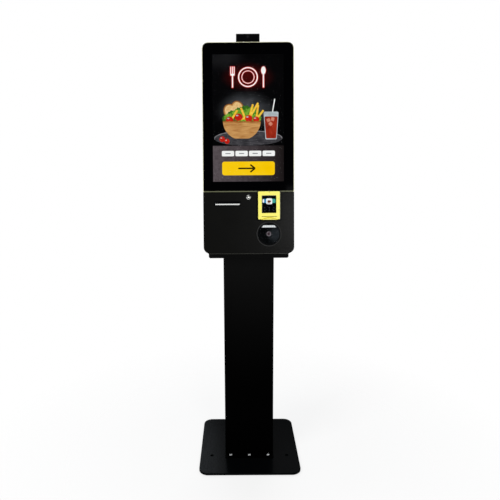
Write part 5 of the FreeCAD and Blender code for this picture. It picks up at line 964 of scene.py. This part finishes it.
def show(name, colour, layer, shape):
    """Lays a drawing on the touch screen in a lit colour, on a layer in front of the backdrop."""
    place = facing(0, SCREEN_DEPTH - SCREEN_LAYER * layer, -PICTURE_DOWN)
    finish_piece(shape, "screen_" + name, place, "lit_" + colour, "kiosk", closed=False)

# %% Backdrop and slate board
shape = bmesh.new()
bmesh.ops.create_grid(shape, x_segments=8, y_segments=14, size=0.5)
bmesh.ops.scale(shape, vec=(PICTURE_WIDE, PICTURE_TALL, 1.0), verts=shape.verts)
show("backdrop", "backdrop", 0, shape)
show("slate_rim", "slate_rim", 1, draw(add_ellipse, (0, -74, 256, 56, 72)))
show("slate_board", "slate", 2, draw(add_ellipse, (0, -76, 252, 54, 72)))

# %% [markdown]
# The emblem is a plate between a fork and a spoon. It is drawn twice: a slightly fatter copy in red lies
# behind the white one and shows as a thin glowing outline.

# %% Emblem with fork and spoon
EMBLEM_UP, FORK_X, SPOON_X = 153, -58, 58


def draw_emblem(fat):
    """Plate, fork and spoon, each stroke wider by twice the given amount."""
    shape = bmesh.new()
    for outer, inner in ((37, 33), (24, 22)):
        first = bmesh.ops.create_circle(shape, segments=56, radius=outer + fat)["verts"]
        second = bmesh.ops.create_circle(shape, segments=56, radius=inner - fat)["verts"]
        rims = list({edge for vert in first + second for edge in vert.link_edges})
        bmesh.ops.bridge_loops(shape, edges=rims)
    for x, y, wide, tall, corner in (
            (FORK_X - 6.5, 25, 3, 28, 1.4), (FORK_X, 25, 3, 28, 1.4), (FORK_X + 6.5, 25, 3, 28, 1.4),
            (FORK_X, 9, 16, 7, 3), (FORK_X, -14, 4.6, 50, 2.2), (SPOON_X, -12, 4.6, 54, 2.2)):
        add_tile(shape, x, y, wide + 2 * fat, tall + 2 * fat, corner)
    add_ellipse(shape, SPOON_X, 24, 17 + 2 * fat, 30 + 2 * fat, 32)
    bmesh.ops.translate(shape, verts=shape.verts, vec=(0, EMBLEM_UP, 0))
    return shape


show("emblem_glow", "red", 1, draw_emblem(1.8))
show("emblem", "white", 2, draw_emblem(0.0))

# %% [markdown]
# Each part of the meal is one cut-out layer: two slices of bread at the back, the bowl's dark inside, the
# leaves, the fruit and strips that look out of it, then the bowl's front that hides their lower halves.

# %% Bread, bowl's inside and leaves
show("bread_crust", "crust", 1, draw(add_ellipse, (-66, 24, 50, 62, 36, 28), (-40, 34, 50, 62, 36, 12)))
show("bread", "bread", 2, draw(add_ellipse, (-66, 24, 41, 53, 36, 28), (-40, 34, 41, 53, 36, 12)))
show("bowl_inside", "bowl_inside", 3, draw(add_ellipse, (-24, -10, 142, 30, 48)))
show("dark_leaves", "dark_leaf", 3, draw(
    add_leaf, (-80, -2, 38, 34), (-58, 10, 46, 42), (-10, 26, 56, 46), (26, 12, 50, 44), (-34, 20, 40, 44)))
show("leaves", "leaf", 4, draw(
    add_leaf, (-72, 4, 40, 30), (-40, 18, 46, 32), (-2, 18, 44, 38), (30, 0, 42, 34), (-22, -2, 60, 24),
    (16, 30, 30, 26)))

# %% Tomatoes and strips
FLATTER = 0.92  # the fruit in the bowl is a little flatter than round
in_bowl = ((-70, -6, 27), (-36, 4, 30), (2, -1, 28), (30, -5, 24))
on_board = ((-98, -78, 21), (-80, -86, 19))
show("tomatoes", "tomato", 5, draw(
    add_ellipse, *[(x, y, size, size * FLATTER) for x, y, size in in_bowl],
    *[(x, y, size, size) for x, y, size in on_board]))
show("pepper_strips", "pepper", 4.5, draw(
    add_tile, *[(x, y, long, 7.5, 2.4, turn) for x, y, long, turn in (
        (-52, 12, 44, 58), (-18, 16, 50, 112), (10, 24, 58, 74), (22, 30, 62, 60), (34, 22, 56, 82),
        (44, 12, 44, 52), (-8, 2, 44, 18))]))
show("tomato_shine", "pale_glass", 5.5, draw(
    add_ellipse, *[(x - 0.18 * size, y + 0.2 * size, 0.3 * size, 0.18 * size, 16)
                   for x, y, size in in_bowl + on_board]))

# %% [markdown]
# The bowl's front is a disc cut off straight above and below. The drink is a tile that narrows downwards,
# as a tumbler does, with a straw behind it and ice in front.

# %% Bowl's front
shape = draw(add_ellipse, (-24, -10, 142, 142, 72))
for height, side in ((-12, 1), (-76, -1)):
    bmesh.ops.bisect_plane(shape, geom=shape.verts[:] + shape.edges[:] + shape.faces[:], dist=0.001,
                           plane_co=(0, height, 0), plane_no=(0, side, 0), clear_outer=True)
show("bowl", "bowl", 6, shape)
show("bowl_rim", "crust", 6.3, draw(add_tile, (-24, -14, 143, 5, 2.4)))

# %% Drink
GLASS_X = 86
FOOT_SHARE = 0.78  # width of the glass at its foot


def draw_glass(middle, wide, tall, corner):
    """Tile that narrows downwards."""
    shape = draw(add_tile, (GLASS_X, middle, wide, tall, corner))
    low = [vert for vert in shape.verts if vert.co.y < middle]
    bmesh.ops.scale(shape, vec=(FOOT_SHARE, 1.0, 1.0), space=Matrix.Translation((-GLASS_X, 0, 0)), verts=low)
    return shape


show("straw", "white", 2, draw(add_tile, (92, 26, 3.6, 92, 1.6, -10)))
show("glass", "pale_glass", 3, draw_glass(-28, 56, 104, 6))
show("drink", "drink", 4, draw_glass(-35, 49, 82, 5))
show("ice", "ice", 5, draw(
    add_tile, (76, -8, 13, 13, 2.5, 20), (92, -4, 13, 13, 2.5, -15), (84, -22, 13, 13, 2.5, 40)))

# %% [markdown]
# The page's buttons are rounded tiles. The wide yellow one carries an arrow, the small white ones a
# grey bar each, so their shapes alone tell what they are for.

# %% Buttons
BUTTON_Y, TILES_Y = -188, -132
tile_places = [-76.8 + 51.2 * column for column in range(4)]
show("wide_button", "button", 1, draw(add_tile, (0, BUTTON_Y, 198.6, 51.6, 9)))
show("button_arrow", "dark_mark", 2, draw(
    add_tile, (-8, BUTTON_Y, 62, 6, 2.8), (16, BUTTON_Y + 6.8, 24, 6, 2.8, -38),
    (16, BUTTON_Y - 6.8, 24, 6, 2.8, 38)))
show("white_tiles", "white", 1, draw(add_tile, *[(x, TILES_Y, 46.4, 20.3, 4) for x in tile_places]))
show("tile_marks", "grey", 2, draw(add_tile, *[(x, TILES_Y, 20, 3, 1.4) for x in tile_places]))

# %% [markdown]
# ## Picture of the card terminal
# The terminal's small display is black, with a row of blue, white and green tiles near its top, a cup on the
# middle one and faint signs below. Its drawing lies just inside the terminal's pane and rides on the door.

# %% Picture of the card terminal
WINDOW_X, WINDOW_Z, WINDOW_DEPTH, WINDOW_LAYER = 77.0, -326.15, -6.66, 0.18


def show_small(name, colour, layer, shape):
    """Lays a drawing behind the terminal's pane, in millimetres from the window's middle."""
    place = facing(WINDOW_X, WINDOW_DEPTH - WINDOW_LAYER * layer, WINDOW_Z)
    finish_piece(shape, "terminal_" + name, place, "lit_" + colour, "service_door", closed=False)


show_small("display", "black", 0, draw(add_tile, (0, 0, 54, 66, 1)))
show_small("blue_tile", "blue", 1, draw(add_tile, (-15, 13.5, 18, 15, 3)))
show_small("teal_tile", "teal", 1, draw(add_tile, (15, 13.5, 18, 15, 3)))
show_small("white_tile", "white", 2, draw(add_tile, (0, 12, 23, 22, 5), (-22, 13.5, 6, 13, 2.5)))
show_small("cup_mark", "coffee", 3, draw(
    add_tile, (-1, 11, 10, 9, 2.5), (5, 12, 4, 5, 1.5), (-1, 4.6, 14, 1.6, 0.7)))
show_small("signs", "dim", 2, draw(
    add_ellipse, *[(x, y, 4.6, 4.6, 16) for x in (-17, 0, 17) for y in (-12, -23)]))
